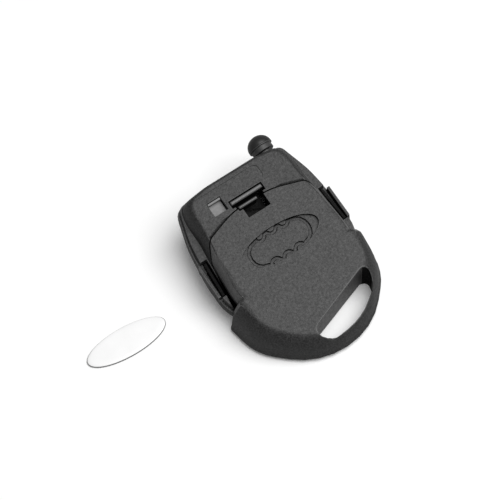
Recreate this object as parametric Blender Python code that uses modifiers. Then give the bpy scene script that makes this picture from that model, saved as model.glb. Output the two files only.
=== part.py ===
"""Car key shell: a remote unit that slides into a key head with a ring slot.

The shell lies on its front. +X is the right side seen from the back, +Y points
to the blade end and +Z is up. The floor is z = 0. The back plane climbs towards
the blade end, and every height of the back is a depth below that plane.
"""
import math
from functools import partial

import bmesh
import bpy
from mathutils import Matrix, Vector

MM = 0.001
OBJECT_NAME = "car_key_shell"

# Clearances and walls
GAP = 0.3 * MM
WALL = 1.3 * MM
OVERRUN = 2.0 * MM
WELD_DISTANCE = 0.001 * MM

# Fineness of arcs
ARC_STEPS = 4
ROUND_SIDES = 32
SMALL_SIDES = 16
BALL_STEPS = 8
FILLET_LIMIT_SHARE = 0.49

# The back plane: its height above the floor under the badge, and its climb
BACK_HEIGHT = 14.5 * MM
BACK_CLIMB_SHARE = 0.25
BACK_ANGLE = math.atan(BACK_CLIMB_SHARE)

# Remote unit: outline seen from the back, from the blade end to the ring end
UNIT_HALF_WIDTH = 21.3 * MM
UNIT_TOP = 24.9 * MM
UNIT_BOTTOM = 13.6 * MM
UNIT_TOP_SHARES = ((0.44, 1.0, 1.2), (0.805, 0.968, 0.13), (0.945, 0.573, 1.5), (1.004, 0.16, 1.5))
UNIT_BOTTOM_SHARES = ((1.0, 0.37, 0.7), (0.80, 0.79, 0.42), (0.37, 1.0, 0.9))

# Raised back: where it stands on the ledge, and where its flat top ends
LEDGE_DEPTH = 4.4 * MM
LEDGE_WIDTH = 2.4 * MM
FOOT_HALF_WIDTH = UNIT_HALF_WIDTH - LEDGE_WIDTH
FOOT_TOP = 24.3 * MM
FOOT_TOP_SHARES = (
    (0.44, 1.0, 1.4), (0.868, 0.965, 0.16), (0.93, 0.76, 0.9),
    (0.925, 0.52, 1.5), (0.965, 0.25, 1.5),
)
FOOT_BOTTOM_SHARES = ((1.0, 0.22, 1.0), (1.0, 0.56, 0.5), (0.41, 1.03, 0.4))
SLOPE_WIDTH = 2.1 * MM
CREST_HALF_WIDTH = FOOT_HALF_WIDTH - SLOPE_WIDTH
CREST_TOP = 21.9 * MM
CREST_TOP_SHARES = (
    (0.46, 1.0, 1.6), (0.80, 0.965, 0.19), (0.86, 0.80, 0.9),
    (0.89, 0.58, 1.8), (0.95, 0.27, 1.8),
)
CREST_BOTTOM_SHARES = ((1.0, 0.22, 1.2), (1.0, 0.56, 0.6), (0.45, 0.96, 0.5))
SLOPE_SHARES = ((1.0, 1.0), (0.86, 0.72), (0.66, 0.42), (0.44, 0.18), (0.22, 0.045), (0.0, 0.0))

# Rear cover
FLANGE_THICKNESS = 1.8 * MM
FLANGE_SETBACK = 0.6 * MM
DECK_DEPTH = 2.1 * MM
DECK_LIP_DEPTH = 3.1 * MM
ARCH_INSET = 1.7 * MM
ARCH_HALF_WIDTH = FOOT_HALF_WIDTH - ARCH_INSET
HEAD_CHEEK = 1.6 * MM
DECK_HALF_WIDTH = ARCH_HALF_WIDTH - HEAD_CHEEK
DECK_LIP_WIDTH = 0.9 * MM
NECK_HALF_WIDTH = DECK_HALF_WIDTH - DECK_LIP_WIDTH
DECK_TOP = 14.0 * MM
CAVITY_HALF_WIDTH = NECK_HALF_WIDTH - WALL
LABEL_DEPTH = 0.2 * MM
LABEL_LEFT = -13.5 * MM
LABEL_RIGHT = 6.9 * MM
LABEL_LOW = 17.0 * MM
LABEL_HIGH = 21.7 * MM
LABEL_CORNER = 1.5 * MM
SIGHT_CENTRE_X = -8.6 * MM
SIGHT_CENTRE_Y = 17.1 * MM
SIGHT_SIZE = 4.2 * MM

# Side windows in the ledge and the clip bars that stand in them
WINDOW_TOP = 8.3 * MM
WINDOW_BOTTOM = 2.4 * MM
WINDOW_INNER_SHARES = (0.971, 1.006)
WINDOW_OUTER_SHARE = 1.08
CLIP_END_GAP = 0.5 * MM
CLIP_SIDE_GAP = 0.5 * MM
CLIP_TOP_DEPTH = 5.0 * MM
CLIP_ROOT_HEIGHT = 3.9 * MM
CLIP_THICKNESS = 0.8 * MM
GUARD_END_GAP = 0.8 * MM
GUARD_TOP_DEPTH = 4.8 * MM
GUARD_ROOT_DEPTH = 7.6 * MM
GUARD_THICKNESS = 0.9 * MM

# Front cover
PARTING_DEPTH = LEDGE_DEPTH + FLANGE_THICKNESS
BEAD_DEPTH = 7.2 * MM
RIM_DEPTH = 8.8 * MM
BEAD_STAND = 0.25 * MM
PANEL_MARGIN = 9.7 * MM
PANEL_HALF_WIDTH = UNIT_HALF_WIDTH - PANEL_MARGIN
PANEL_TOP = 9.4 * MM
PANEL_BOTTOM = 9.6 * MM
PANEL_TOP_SHARES = ((0.44, 1.0, 0.9), (0.82, 0.94, 0.35), (0.97, 0.573, 0.9), (1.0, 0.16, 1.5))
PANEL_BOTTOM_SHARES = ((1.0, 0.37, 0.8), (0.80, 0.86, 0.42), (0.37, 1.0, 0.9))
DOME_SHARES = ((0.10, 0.64), (0.26, 0.36), (0.48, 0.16), (0.74, 0.04), (1.0, 0.0))
FRONT_WALL = 1.2 * MM
PANEL_SHOULDER_SHARE = 0.35

# Key head: the arched plate over the remote and the thick ring end
PLATE_THICKNESS = 1.8 * MM
LIP_DEPTH = 3.4 * MM
ARCH_TOP = 13.1 * MM
ARCH_SHARES = (
    (0.36, 1.0, 1.2), (0.91, 0.77, 0.22), (1.08, 0.38, 1.5),
    (1.1, -0.26, 0.5), (1.1, -0.49, 0.14), (1.38, -0.6, 0.1),
)
RING_INSET = 0.2 * MM
RING_RADIUS = UNIT_HALF_WIDTH - RING_INSET
RING_CENTRE_Y = -9.2 * MM
SHOULDER_STAND = 1.2 * MM
SHOULDER_HALF_WIDTH = UNIT_HALF_WIDTH + SHOULDER_STAND
SHOULDER_Y = -7.5 * MM
SHOULDER_CORNER = 1.0 * MM
SHOULDER_INNER_INSET = 0.2 * MM
SHOULDER_INNER_HALF_WIDTH = ARCH_HALF_WIDTH - SHOULDER_INNER_INSET
SHOULDER_RISE = 1.6 * MM
FOOT_EDGE_HEIGHT = 1.3 * MM
FOOT_EDGE_INSET = 0.8 * MM
RING_SLOPE_WIDTH = 4.6 * MM
RING_SLOPE_SHARES = (
    (0.0, 0.0), (0.09, 0.10), (0.16, 0.32), (0.24, 0.52),
    (0.38, 0.72), (0.59, 0.88), (0.80, 0.965), (1.0, 1.0),
)

# Key-ring slot
SLOT_RIM = 2.2 * MM
SLOT_OUTER_RADIUS = RING_RADIUS - SLOT_RIM
SLOT_ARC_COUNT = 3
SLOT_CHORD_LEFT_X = -7.2 * MM
SLOT_CHORD_LEFT_Y = -24.1 * MM
SLOT_CHORD_ANGLE = math.radians(18.3)
SLOT_CHORD_LENGTH = 24.4 * MM
SLOT_CORNER = 2.0 * MM

# Badge recess and the badge that lies beside the shell
RECESS_HALF_LENGTH = 12.2 * MM
RECESS_HALF_HEIGHT = 4.7 * MM
RECESS_DEPTH = 0.8 * MM
RECESS_SIDES = 64
GROOVE_HALF_WIDTH = 0.4 * MM
GROOVE_DEPTH = 0.5 * MM
GROOVE_WALL_GAP = 0.15 * MM
GROOVE_BAY_PITCH = 3.8 * MM
GROOVE_BAY_RADIUS = 1.5 * MM
GROOVE_BAY_COUNT = 3
GROOVE_END_X = 6.2 * MM
GROOVE_END_RADIUS = 3.0 * MM
GROOVE_END_HEIGHT = 3.5 * MM
GROOVE_STEPS = 8
BADGE_THICKNESS = 0.7 * MM
BADGE_X = -46.8 * MM
BADGE_Y = 5.9 * MM
BADGE_TURN = math.radians(-3.0)

# Latch: the tongue in the rear cover and the notch in the key head
NOTCH_LEFT = -3.2 * MM
NOTCH_RIGHT = 3.8 * MM
NOTCH_LOW = 10.0 * MM
NOTCH_MOUTH_LEFT = -4.3 * MM
NOTCH_MOUTH_LOW = 12.8 * MM
LATCH_LEFT = -5.5 * MM
LATCH_RIGHT = 5.1 * MM
LATCH_LOW = 14.3 * MM
LATCH_HIGH = 16.6 * MM
TONGUE_TOP_DEPTH = 4.3 * MM
TONGUE_THICKNESS = 0.9 * MM
LATCH_BAR_WIDTH = 1.1 * MM
LATCH_BAR_TOP_DEPTH = 0.05 * MM
CATCH_WIDTH = 0.8 * MM
CATCH_SETBACK = 0.2 * MM
CATCH_LEFT = -3.9 * MM
CATCH_RIGHT = 1.9 * MM
CATCH_TOP_DEPTH = 0.3 * MM

# Transponder in the ring end
CHIP_LENGTH = 11.0 * MM
CHIP_WIDTH = 3.0 * MM
CHIP_HEIGHT = 2.6 * MM
CHIP_TOP_DEPTH = 3.4 * MM
CHIP_SETBACK = 2.4 * MM

# Blade collar and plug
BLADE_INSET = 8.9 * MM
BLADE_X = UNIT_HALF_WIDTH - BLADE_INSET
COLLAR_RADIUS = 2.3 * MM
COLLAR_SETBACK = 0.8 * MM
COLLAR_LENGTH = 5.7 * MM
COLLAR_END = UNIT_TOP - COLLAR_SETBACK
COLLAR_START = COLLAR_END - COLLAR_LENGTH
COLLAR_BORE = 1.5 * MM
COLLAR_FLANGE_RADIUS = 3.0 * MM
COLLAR_FLANGE_LENGTH = 1.2 * MM
BULB_RADIUS = 3.55 * MM
BULB_NECK_RADIUS = 3.15 * MM
BULB_STAND = 1.85 * MM
BULB_CENTRE = COLLAR_END + BULB_STAND
BULB_RIM = 0.5 * MM
STEM_LENGTH = 5.0 * MM

# Cell, its contacts and its carrier
CELL_RADIUS = 10.0 * MM
CELL_THICKNESS = 3.2 * MM
CELL_CAP_RADIUS = 8.6 * MM
CELL_CAP_STEP = 0.25 * MM
CELL_END = 18.9 * MM
CELL_Y = CELL_END - CELL_RADIUS
CONTACT_THICKNESS = 0.25 * MM
CONTACT_WIDTH = 4.0 * MM
CONTACT_LENGTH = 12.0 * MM
CONTACT_LEG = 2.2 * MM
CARRIER_TOP = 8.0 * MM
CARRIER_RIM = 2.6 * MM
CARRIER_REACH = 8.1 * MM
CARRIER_BRIDGE = 1.9 * MM
CARRIER_HALF_WIDTH = CELL_RADIUS + CARRIER_RIM
CARRIER_END = CELL_Y + CARRIER_REACH
CARRIER_START = CELL_Y - CELL_RADIUS - CARRIER_BRIDGE
CARRIER_CORNER = 1.5 * MM
CARRIER_POST_SIZE = 2.2 * MM
CARRIER_POST_INSET = 1.6 * MM
SIGHT_PAD_SIZE = 3.9 * MM
SIGHT_PAD_DEPTH = 1.65 * MM
SIGHT_BAR_WIDTH = 0.6 * MM
SIGHT_BAR_DEPTH = 0.35 * MM

# Circuit board and what it carries
BOARD_HEIGHT = 4.6 * MM
BOARD_THICKNESS = 1.0 * MM
BOARD_BORDER = 0.2 * MM
BOARD_HALF_WIDTH = CARRIER_HALF_WIDTH + BOARD_BORDER
BOARD_TOP = CARRIER_END + BOARD_BORDER
CHIP_GAP = 0.5 * MM
BOARD_CORNER = 2.0 * MM
CONTROLLER_SIZE = (6.6 * MM, 4.2 * MM, 1.1 * MM)
CONTROLLER_X = -5.0 * MM
CONTROLLER_PLACE = (CONTROLLER_X, CARRIER_START - CHIP_GAP - CONTROLLER_SIZE[1] / 2)
BOARD_BOTTOM = -CARRIER_START + CHIP_GAP + CONTROLLER_SIZE[1] + CHIP_GAP
RESONATOR_SIZE = (5.0 * MM, 3.4 * MM, 1.4 * MM)
RESONATOR_X = 5.5 * MM
RESONATOR_PLACE = (RESONATOR_X, CARRIER_START - CHIP_GAP - RESONATOR_SIZE[1] / 2)
SWITCH_SIZE = (4.0 * MM, 4.0 * MM, 1.2 * MM)
PLUNGER_RADIUS = 1.1 * MM
PLUNGER_REST_GAP = 0.5 * MM
PLUNGER_DEPTH = 0.35 * MM
POST_RADIUS = 1.0 * MM
POST_INSET = 1.2 * MM

# Buttons and the rubber pad behind the front panel
BUTTON_PLACES = (
    ("button_lock", -5.1 * MM, 5.0 * MM),
    ("button_unlock", 5.1 * MM, 5.0 * MM),
    ("button_boot", 0.0, -5.3 * MM),
)
BUTTON_LENGTH = 6.8 * MM
BUTTON_HEIGHT = 6.0 * MM
BUTTON_CORNER = 2.4 * MM
BUTTON_RECESS = 0.3 * MM
BUTTON_FLANGE = 0.6 * MM
BUTTON_FLANGE_THICKNESS = 0.4 * MM
PAD_THICKNESS = 0.6 * MM
PAD_RIM = 0.7 * MM
PAD_CORNER = 2.0 * MM

FINISHES = {
    "black_plastic": ((0.035, 0.035, 0.037, 1.0), 0.55, 0.0),
    "dark_rubber": ((0.02, 0.02, 0.021, 1.0), 0.8, 0.0),
    "badge_plastic": ((0.86, 0.86, 0.86, 1.0), 0.2, 0.0),
    "pale_plastic": ((0.55, 0.55, 0.54, 1.0), 0.5, 0.0),
    "board_laminate": ((0.03, 0.16, 0.07, 1.0), 0.45, 0.0),
    "chip_resin": ((0.02, 0.02, 0.022, 1.0), 0.4, 0.0),
    "bright_metal": ((0.72, 0.72, 0.70, 1.0), 0.3, 1.0),
    "contact_metal": ((0.75, 0.70, 0.55, 1.0), 0.35, 1.0),
}


def clear_scene():
    """Remove every object that the file opened with."""
    for item in list(bpy.data.objects):
        bpy.data.objects.remove(item, do_unlink=True)


def new_collection(name):
    """Return a new collection linked to the scene."""
    collection = bpy.data.collections.new(name)
    bpy.context.scene.collection.children.link(collection)
    return collection


def new_material(name):
    """Return a Principled material with its own colour, roughness and metallic value."""
    colour, roughness, metallic = FINISHES[name]
    material = bpy.data.materials.new(name)
    material.use_nodes = True
    shader = material.node_tree.nodes["Principled BSDF"]
    shader.inputs["Base Color"].default_value = colour
    shader.inputs["Roughness"].default_value = roughness
    shader.inputs["Metallic"].default_value = metallic
    material.diffuse_color = colour
    return material


def back_height(y, depth=0.0):
    """Height above the floor of a point that lies a depth below the back plane."""
    return BACK_HEIGHT + BACK_CLIMB_SHARE * y - depth


# Outlines


def scaled_corners(shares, half_width, length):
    """Turn corner shares into (x, y, radius) corners of the right half."""
    return [(sx * half_width, sy * length, sr * half_width) for sx, sy, sr in shares]


def both_halves(right):
    """Close a right half, listed from top to bottom, with its mirror image."""
    left = [(-x, y, radius) for x, y, radius in reversed(right)]
    return right + left


def offset_corners(corners, distance):
    """Move every edge of a closed corner list inwards by a distance."""
    count = len(corners)
    moved = []
    for index, (x, y, radius) in enumerate(corners):
        here = Vector((x, y))
        before = (here - Vector(corners[index - 1][:2])).normalized()
        after = (Vector(corners[(index + 1) % count][:2]) - here).normalized()
        inward_before = Vector((before.y, -before.x))
        inward_after = Vector((after.y, -after.x))
        middle = (inward_before + inward_after) / (1 + inward_before.dot(inward_after))
        spot = here + middle * distance
        turning_in = before.x * after.y - before.y * after.x < 0
        new_radius = max(radius - distance, 0.0) if turning_in else radius + distance
        moved.append((spot.x, spot.y, new_radius))
    return moved


def mixed_corners(outer, inner, share):
    """Corners that lie a share of the way from an outer to an inner outline."""
    return [
        tuple(a + (b - a) * share for a, b in zip(first, second))
        for first, second in zip(outer, inner)
    ]


def rounded(corners, steps=ARC_STEPS):
    """Replace each (x, y, radius) corner by an arc and return the outline's points."""
    points = []
    count = len(corners)
    for index, (x, y, radius) in enumerate(corners):
        here = Vector((x, y))
        to_before = Vector(corners[index - 1][:2]) - here
        to_after = Vector(corners[(index + 1) % count][:2]) - here
        half_angle = to_before.angle(to_after) / 2
        limit = FILLET_LIMIT_SHARE * min(to_before.length, to_after.length)
        reach = min(radius / math.tan(half_angle), limit)
        arc_radius = reach * math.tan(half_angle)
        start = here + to_before.normalized() * reach
        end = here + to_after.normalized() * reach
        bisector = (to_before.normalized() + to_after.normalized()).normalized()
        centre = here + bisector * (arc_radius / math.sin(half_angle))
        first = math.atan2(start.y - centre.y, start.x - centre.x)
        last = math.atan2(end.y - centre.y, end.x - centre.x)
        sweep = (last - first + math.pi) % (2 * math.pi) - math.pi
        for step in range(steps + 1):
            angle = first + sweep * step / steps
            points.append((centre.x + arc_radius * math.cos(angle), centre.y + arc_radius * math.sin(angle)))
    return points


def on_back(outline, depth):
    """Lift a flat outline to a depth below the climbing back plane."""
    return [(x, y, back_height(y, depth)) for x, y in outline]


def at_height(outline, height):
    """Lift a flat outline to a level height."""
    return [(x, y, height) for x, y in outline]


# Solids


class Workshop:
    """Makes the part's objects in its two collections and its two frames."""

    def __init__(self):
        self.parts = new_collection(OBJECT_NAME)
        self.cutters = new_collection(OBJECT_NAME + "_cutters")
        self.materials = {name: new_material(name) for name in FINISHES}
        self.back = bpy.data.objects.new("back_frame", None)
        self.back.location = (0.0, 0.0, BACK_HEIGHT)
        self.back.rotation_euler = (BACK_ANGLE, 0.0, 0.0)
        self.parts.objects.link(self.back)
        self.blade = None

    def keep(self, name, mesh, material=None, frame=None, smooth=True):
        """Make an object from a mesh: a part if it has a material, or else a cutter."""
        item = bpy.data.objects.new(name, mesh)
        if material is None:
            self.cutters.objects.link(item)
            item.hide_render = True
            item.display_type = "WIRE"
        else:
            self.parts.objects.link(item)
            mesh.materials.append(self.materials[material])
        if smooth:
            mesh.shade_smooth()
            mesh.set_sharp_from_angle(angle=math.radians(30))
        item.parent = frame
        return item

    def loft(self, name, rings, material=None, frame=None):
        """Skin closed rings of equal point counts and cap both ends."""
        build = bmesh.new()
        layers = [[build.verts.new(point) for point in ring] for ring in rings]
        for low, high in zip(layers, layers[1:]):
            for index, corner in enumerate(low):
                following = (index + 1) % len(low)
                build.faces.new((corner, low[following], high[following], high[index]))
        build.faces.new(list(reversed(layers[0])))
        build.faces.new(layers[-1])
        bmesh.ops.recalc_face_normals(build, faces=build.faces)
        bmesh.ops.triangulate(build, faces=build.faces)
        mesh = bpy.data.meshes.new(name)
        build.to_mesh(mesh)
        build.free()
        return self.keep(name, mesh, material, frame)

    def band(self, name, rings, frame=None):
        """Skin closed rings of equal point counts into a closed band, the last one back to the first."""
        build = bmesh.new()
        layers = [[build.verts.new(point) for point in ring] for ring in rings]
        for low, high in zip(layers, layers[1:] + layers[:1]):
            for index, corner in enumerate(low):
                following = (index + 1) % len(low)
                build.faces.new((corner, low[following], high[following], high[index]))
        bmesh.ops.recalc_face_normals(build, faces=build.faces)
        bmesh.ops.triangulate(build, faces=build.faces)
        mesh = bpy.data.meshes.new(name)
        build.to_mesh(mesh)
        build.free()
        return self.keep(name, mesh, None, frame)

    def block(self, name, low, high, material=None, frame=None):
        """Make a box between two corners."""
        size = [b - a for a, b in zip(low, high)]
        centre = [(a + b) / 2 for a, b in zip(low, high)]
        build = bmesh.new()
        bmesh.ops.create_cube(build, size=1.0, matrix=Matrix.Diagonal((*size, 1.0)))
        mesh = bpy.data.meshes.new(name)
        build.to_mesh(mesh)
        build.free()
        item = self.keep(name, mesh, material, frame, smooth=False)
        item.location = centre
        return item

    def rod(self, name, radius, low, high, place, material=None, frame=None, sides=ROUND_SIDES, along="Z"):
        """Make a cylinder between two stations on an axis through a place."""
        build = bmesh.new()
        bmesh.ops.create_cone(
            build, cap_ends=True, segments=sides, radius1=radius, radius2=radius, depth=high - low
        )
        mesh = bpy.data.meshes.new(name)
        build.to_mesh(mesh)
        build.free()
        item = self.keep(name, mesh, material, frame)
        middle = (low + high) / 2
        if along == "Z":
            item.location = (place[0], place[1], middle)
        elif along == "X":
            item.rotation_euler = (0.0, math.radians(90), 0.0)
            item.location = (middle, place[0], place[1])
        else:
            item.rotation_euler = (math.radians(-90), 0.0, 0.0)
            item.location = (place[0], middle, place[1])
        return item

    def plate(self, name, outline, low, high, material=None, frame=None):
        """Make a flat plate from a closed outline as a filled curve, then as a mesh."""
        curve = bpy.data.curves.new(name, "CURVE")
        curve.dimensions = "2D"
        curve.fill_mode = "BOTH"
        curve.extrude = (high - low) / 2
        spline = curve.splines.new("POLY")
        spline.points.add(len(outline) - 1)
        for point, (x, y) in zip(spline.points, outline):
            point.co = (x, y, 0.0, 1.0)
        spline.use_cyclic_u = True
        item = self.from_curve(name, curve, material, frame)
        item.location = (0.0, 0.0, (low + high) / 2)
        return item

    def from_curve(self, name, curve, material, frame):
        """Turn a curve into a welded mesh object and remove the curve."""
        source = bpy.data.objects.new(name + "_curve", curve)
        bpy.context.scene.collection.objects.link(source)
        bpy.context.view_layer.update()
        graph = bpy.context.evaluated_depsgraph_get()
        mesh = bpy.data.meshes.new_from_object(source.evaluated_get(graph))
        bpy.data.objects.remove(source, do_unlink=True)
        build = bmesh.new()
        build.from_mesh(mesh)
        bmesh.ops.remove_doubles(build, verts=build.verts, dist=WELD_DISTANCE)
        bmesh.ops.recalc_face_normals(build, faces=build.faces)
        build.to_mesh(mesh)
        build.free()
        mesh.materials.clear()
        mesh.name = name
        return self.keep(name, mesh, material, frame)

    def turned(self, name, profile, material, frame=None, sides=ROUND_SIDES):
        """Spin a profile of (radius, station) points, listed top to bottom, about its axis."""
        mesh = bpy.data.meshes.new(name)
        points = [(radius, 0.0, station) for radius, station in profile]
        edges = [(index, index + 1) for index in range(len(points) - 1)]
        mesh.from_pydata(points, edges, [])
        item = self.keep(name, mesh, material, frame, smooth=False)
        screw = item.modifiers.new("turn", "SCREW")
        screw.steps = sides
        screw.render_steps = sides
        screw.use_merge_vertices = True
        screw.merge_threshold = WELD_DISTANCE
        screw.use_smooth_shade = False
        return item


def combine(target, tool, operation="DIFFERENCE", solver="EXACT"):
    """Cut, join or intersect a target with a tool."""
    modifier = target.modifiers.new(operation.lower(), "BOOLEAN")
    modifier.operation = operation
    modifier.solver = solver
    modifier.object = tool


# Outlines that the covers and the key head share


def unit_corners():
    """Corners of the remote unit's rim."""
    right = scaled_corners(UNIT_TOP_SHARES, UNIT_HALF_WIDTH, UNIT_TOP)
    right += scaled_corners(UNIT_BOTTOM_SHARES, UNIT_HALF_WIDTH, -UNIT_BOTTOM)
    return both_halves(right)


def foot_corners():
    """Corners of the line where the raised back meets the ledge."""
    right = scaled_corners(FOOT_TOP_SHARES, FOOT_HALF_WIDTH, FOOT_TOP)
    right += scaled_corners(FOOT_BOTTOM_SHARES, FOOT_HALF_WIDTH, -UNIT_BOTTOM)
    return both_halves(right)


def crest_corners():
    """Corners of the line where the flat back ends."""
    right = scaled_corners(CREST_TOP_SHARES, CREST_HALF_WIDTH, CREST_TOP)
    right += scaled_corners(CREST_BOTTOM_SHARES, CREST_HALF_WIDTH, -UNIT_BOTTOM)
    return both_halves(right)


def panel_corners():
    """Corners of the flat front panel."""
    right = scaled_corners(PANEL_TOP_SHARES, PANEL_HALF_WIDTH, PANEL_TOP)
    right += scaled_corners(PANEL_BOTTOM_SHARES, PANEL_HALF_WIDTH, -PANEL_BOTTOM)
    return both_halves(right)


def arch_corners(grow=0.0):
    """Corners of the region that belongs to the key head, grown by a clearance."""
    right = scaled_corners(ARCH_SHARES, ARCH_HALF_WIDTH, ARCH_TOP)
    far = right[-1][0]
    right.append((far, RING_CENTRE_Y - RING_RADIUS - OVERRUN, 0.0))
    corners = both_halves(right)
    return offset_corners(corners, -grow) if grow else corners


def ring_end_corners(inset):
    """Corners of the ring end, a round end below straight shoulders."""
    radius = RING_RADIUS - inset
    reach = radius * math.tan(math.radians(22.5))
    right = [
        (SHOULDER_INNER_HALF_WIDTH - inset, SHOULDER_Y + SHOULDER_RISE, SHOULDER_RISE),
        (SHOULDER_HALF_WIDTH - inset, SHOULDER_Y, SHOULDER_CORNER),
        (radius, RING_CENTRE_Y - reach, radius),
        (reach, RING_CENTRE_Y - radius, radius),
    ]
    return both_halves(right)


def raised_back(shop, name, inset=0.0, lift=0.0, skirt=0.0):
    """Loft the raised back with its rounded slopes, inset and lowered by a wall."""
    outer = offset_corners(foot_corners(), inset) if inset else foot_corners()
    inner = offset_corners(crest_corners(), inset) if inset else crest_corners()
    rings = [on_back(rounded(outer), LEDGE_DEPTH + skirt)] if skirt else []
    for out_share, depth_share in SLOPE_SHARES:
        corners = mixed_corners(inner, outer, out_share)
        rings.append(on_back(rounded(corners), lift + (LEDGE_DEPTH - lift) * depth_share))
    return shop.loft(name, rings)


def unit_prism(shop, name, inset, low_depth, high_depth, material=None):
    """Loft the remote's outline between two depths below the back plane."""
    corners = offset_corners(unit_corners(), inset) if inset else unit_corners()
    outline = rounded(corners)
    return shop.loft(name, [on_back(outline, low_depth), on_back(outline, high_depth)], material)


def sloped(length):
    """Length along the climbing back of a length measured on the floor."""
    return length / math.cos(BACK_ANGLE)


# Rear cover


def window_outline(side):
    """Four corners of a side window, which opens through the edge of the ledge."""
    inner_top = FOOT_HALF_WIDTH * WINDOW_INNER_SHARES[0]
    inner_low = FOOT_HALF_WIDTH * WINDOW_INNER_SHARES[1]
    outer = UNIT_HALF_WIDTH * WINDOW_OUTER_SHARE
    return [
        (side * inner_top, WINDOW_TOP),
        (side * outer, WINDOW_TOP),
        (side * outer, -WINDOW_BOTTOM),
        (side * inner_low, -WINDOW_BOTTOM),
    ]


def clip_outline(side):
    """Four corners of the clip bar that stands in a side window."""
    inner_top = FOOT_HALF_WIDTH * WINDOW_INNER_SHARES[0] + CLIP_SIDE_GAP
    inner_low = FOOT_HALF_WIDTH * WINDOW_INNER_SHARES[1] + CLIP_SIDE_GAP
    top = WINDOW_TOP - CLIP_END_GAP
    bottom = -WINDOW_BOTTOM + CLIP_END_GAP
    return [
        (side * inner_top, top),
        (side * (inner_top + CLIP_THICKNESS), top),
        (side * (inner_low + CLIP_THICKNESS), bottom),
        (side * inner_low, bottom),
    ]


def guard_outline(side):
    """Four corners of the raised guard that closes the outer side of a window."""
    outer = UNIT_HALF_WIDTH + BEAD_STAND
    top = WINDOW_TOP - GUARD_END_GAP
    bottom = -WINDOW_BOTTOM + CLIP_END_GAP
    return [
        (side * (outer - GUARD_THICKNESS), top),
        (side * outer, top),
        (side * outer, bottom),
        (side * (outer - GUARD_THICKNESS), bottom),
    ]


def side_prism(shop, name, outline, low_depth, high_depth):
    """Loft a plan outline between two depths below the back plane."""
    return shop.loft(name, [on_back(outline, low_depth), on_back(outline, high_depth)])


def make_rear_cover(shop):
    """Rear cover: flange, raised back, and the neck and deck under the key head."""
    fuse = partial(combine, solver="MANIFOLD")
    cover = unit_prism(shop, "rear_cover", FLANGE_SETBACK, PARTING_DEPTH, LEDGE_DEPTH, "black_plastic")

    crown = raised_back(shop, "rear_crown_form", skirt=FLANGE_THICKNESS / 2)
    arch = arch_corners(GAP)
    outline = rounded(arch)
    outside = shop.loft(
        "rear_arch_cutter",
        [on_back(outline, LEDGE_DEPTH + OVERRUN), on_back(outline, -OVERRUN)],
    )
    fuse(crown, outside)
    fuse(cover, crown, "UNION")

    deck_low = -sloped(UNIT_BOTTOM)
    deck = shop.block(
        "rear_deck_form",
        (-DECK_HALF_WIDTH, deck_low, -DECK_LIP_DEPTH),
        (DECK_HALF_WIDTH, DECK_TOP, -DECK_DEPTH),
        frame=shop.back,
    )
    neck = shop.block(
        "rear_neck_form",
        (-NECK_HALF_WIDTH, deck_low, -LEDGE_DEPTH),
        (NECK_HALF_WIDTH, DECK_TOP, -DECK_DEPTH - GAP),
        frame=shop.back,
    )
    fuse(deck, neck, "UNION")
    bounds = unit_prism(shop, "rear_deck_bounds", FLANGE_SETBACK + GAP, PARTING_DEPTH, DECK_DEPTH - GAP)
    fuse(deck, bounds, "INTERSECT")
    under = raised_back(shop, "rear_deck_crown", inset=GAP, lift=GAP, skirt=FLANGE_THICKNESS)
    fuse(deck, under, "INTERSECT")
    fuse(cover, deck, "UNION")

    hollow = raised_back(shop, "rear_hollow_cutter", inset=WALL, lift=WALL, skirt=FLANGE_THICKNESS + OVERRUN)
    keep_out = rounded(arch_corners(GAP + WALL))
    keep_arch = shop.loft(
        "rear_hollow_limit",
        [on_back(keep_out, PARTING_DEPTH + OVERRUN + OVERRUN), on_back(keep_out, -OVERRUN)],
    )
    fuse(hollow, keep_arch)
    fuse(cover, hollow)
    bay = shop.block(
        "rear_bay_cutter",
        (-CAVITY_HALF_WIDTH, deck_low + sloped(WALL), -PARTING_DEPTH - OVERRUN),
        (CAVITY_HALF_WIDTH, DECK_TOP, -DECK_DEPTH - WALL),
        frame=shop.back,
    )
    bounds = unit_prism(shop, "rear_bay_bounds", FLANGE_SETBACK + WALL, PARTING_DEPTH + OVERRUN, DECK_DEPTH)
    fuse(bay, bounds, "INTERSECT")
    fuse(cover, bay)

    for side, word in ((-1, "left"), (1, "right")):
        window = side_prism(
            shop, f"rear_window_{word}", window_outline(side), PARTING_DEPTH + OVERRUN, LIP_DEPTH
        )
        fuse(cover, window)

    half = SIGHT_SIZE / 2
    sight = shop.block(
        "rear_sight_cutter",
        (SIGHT_CENTRE_X - half, SIGHT_CENTRE_Y - half, -WALL - OVERRUN),
        (SIGHT_CENTRE_X + half, SIGHT_CENTRE_Y + half, OVERRUN),
        frame=shop.back,
    )
    fuse(cover, sight)
    label = rounded([
        (LABEL_LEFT, LABEL_HIGH, LABEL_CORNER),
        (LABEL_RIGHT, LABEL_HIGH, LABEL_CORNER),
        (LABEL_RIGHT, LABEL_LOW, LABEL_CORNER),
        (LABEL_LEFT, LABEL_LOW, LABEL_CORNER),
    ])
    fuse(cover, shop.plate("rear_label_cutter", label, -LABEL_DEPTH, OVERRUN, frame=shop.back))
    fuse(cover, latch_opening(shop, "rear_latch_cutter"))
    fuse(cover, collar_way(shop, "rear_collar_way"))
    return cover


def latch_opening(shop, name):
    """The opening of the latch in the rear cover, wide at its bar and narrow below."""
    wide = shop.block(
        name,
        (LATCH_LEFT, LATCH_LOW, -PARTING_DEPTH),
        (LATCH_RIGHT, LATCH_HIGH, OVERRUN),
        frame=shop.back,
    )
    narrow = shop.block(
        name + "_foot",
        (NOTCH_MOUTH_LEFT - GAP, NOTCH_LOW, -PARTING_DEPTH),
        (NOTCH_RIGHT + GAP, LATCH_LOW + GAP, OVERRUN),
        frame=shop.back,
    )
    combine(wide, narrow, "UNION")
    return wide


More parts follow.
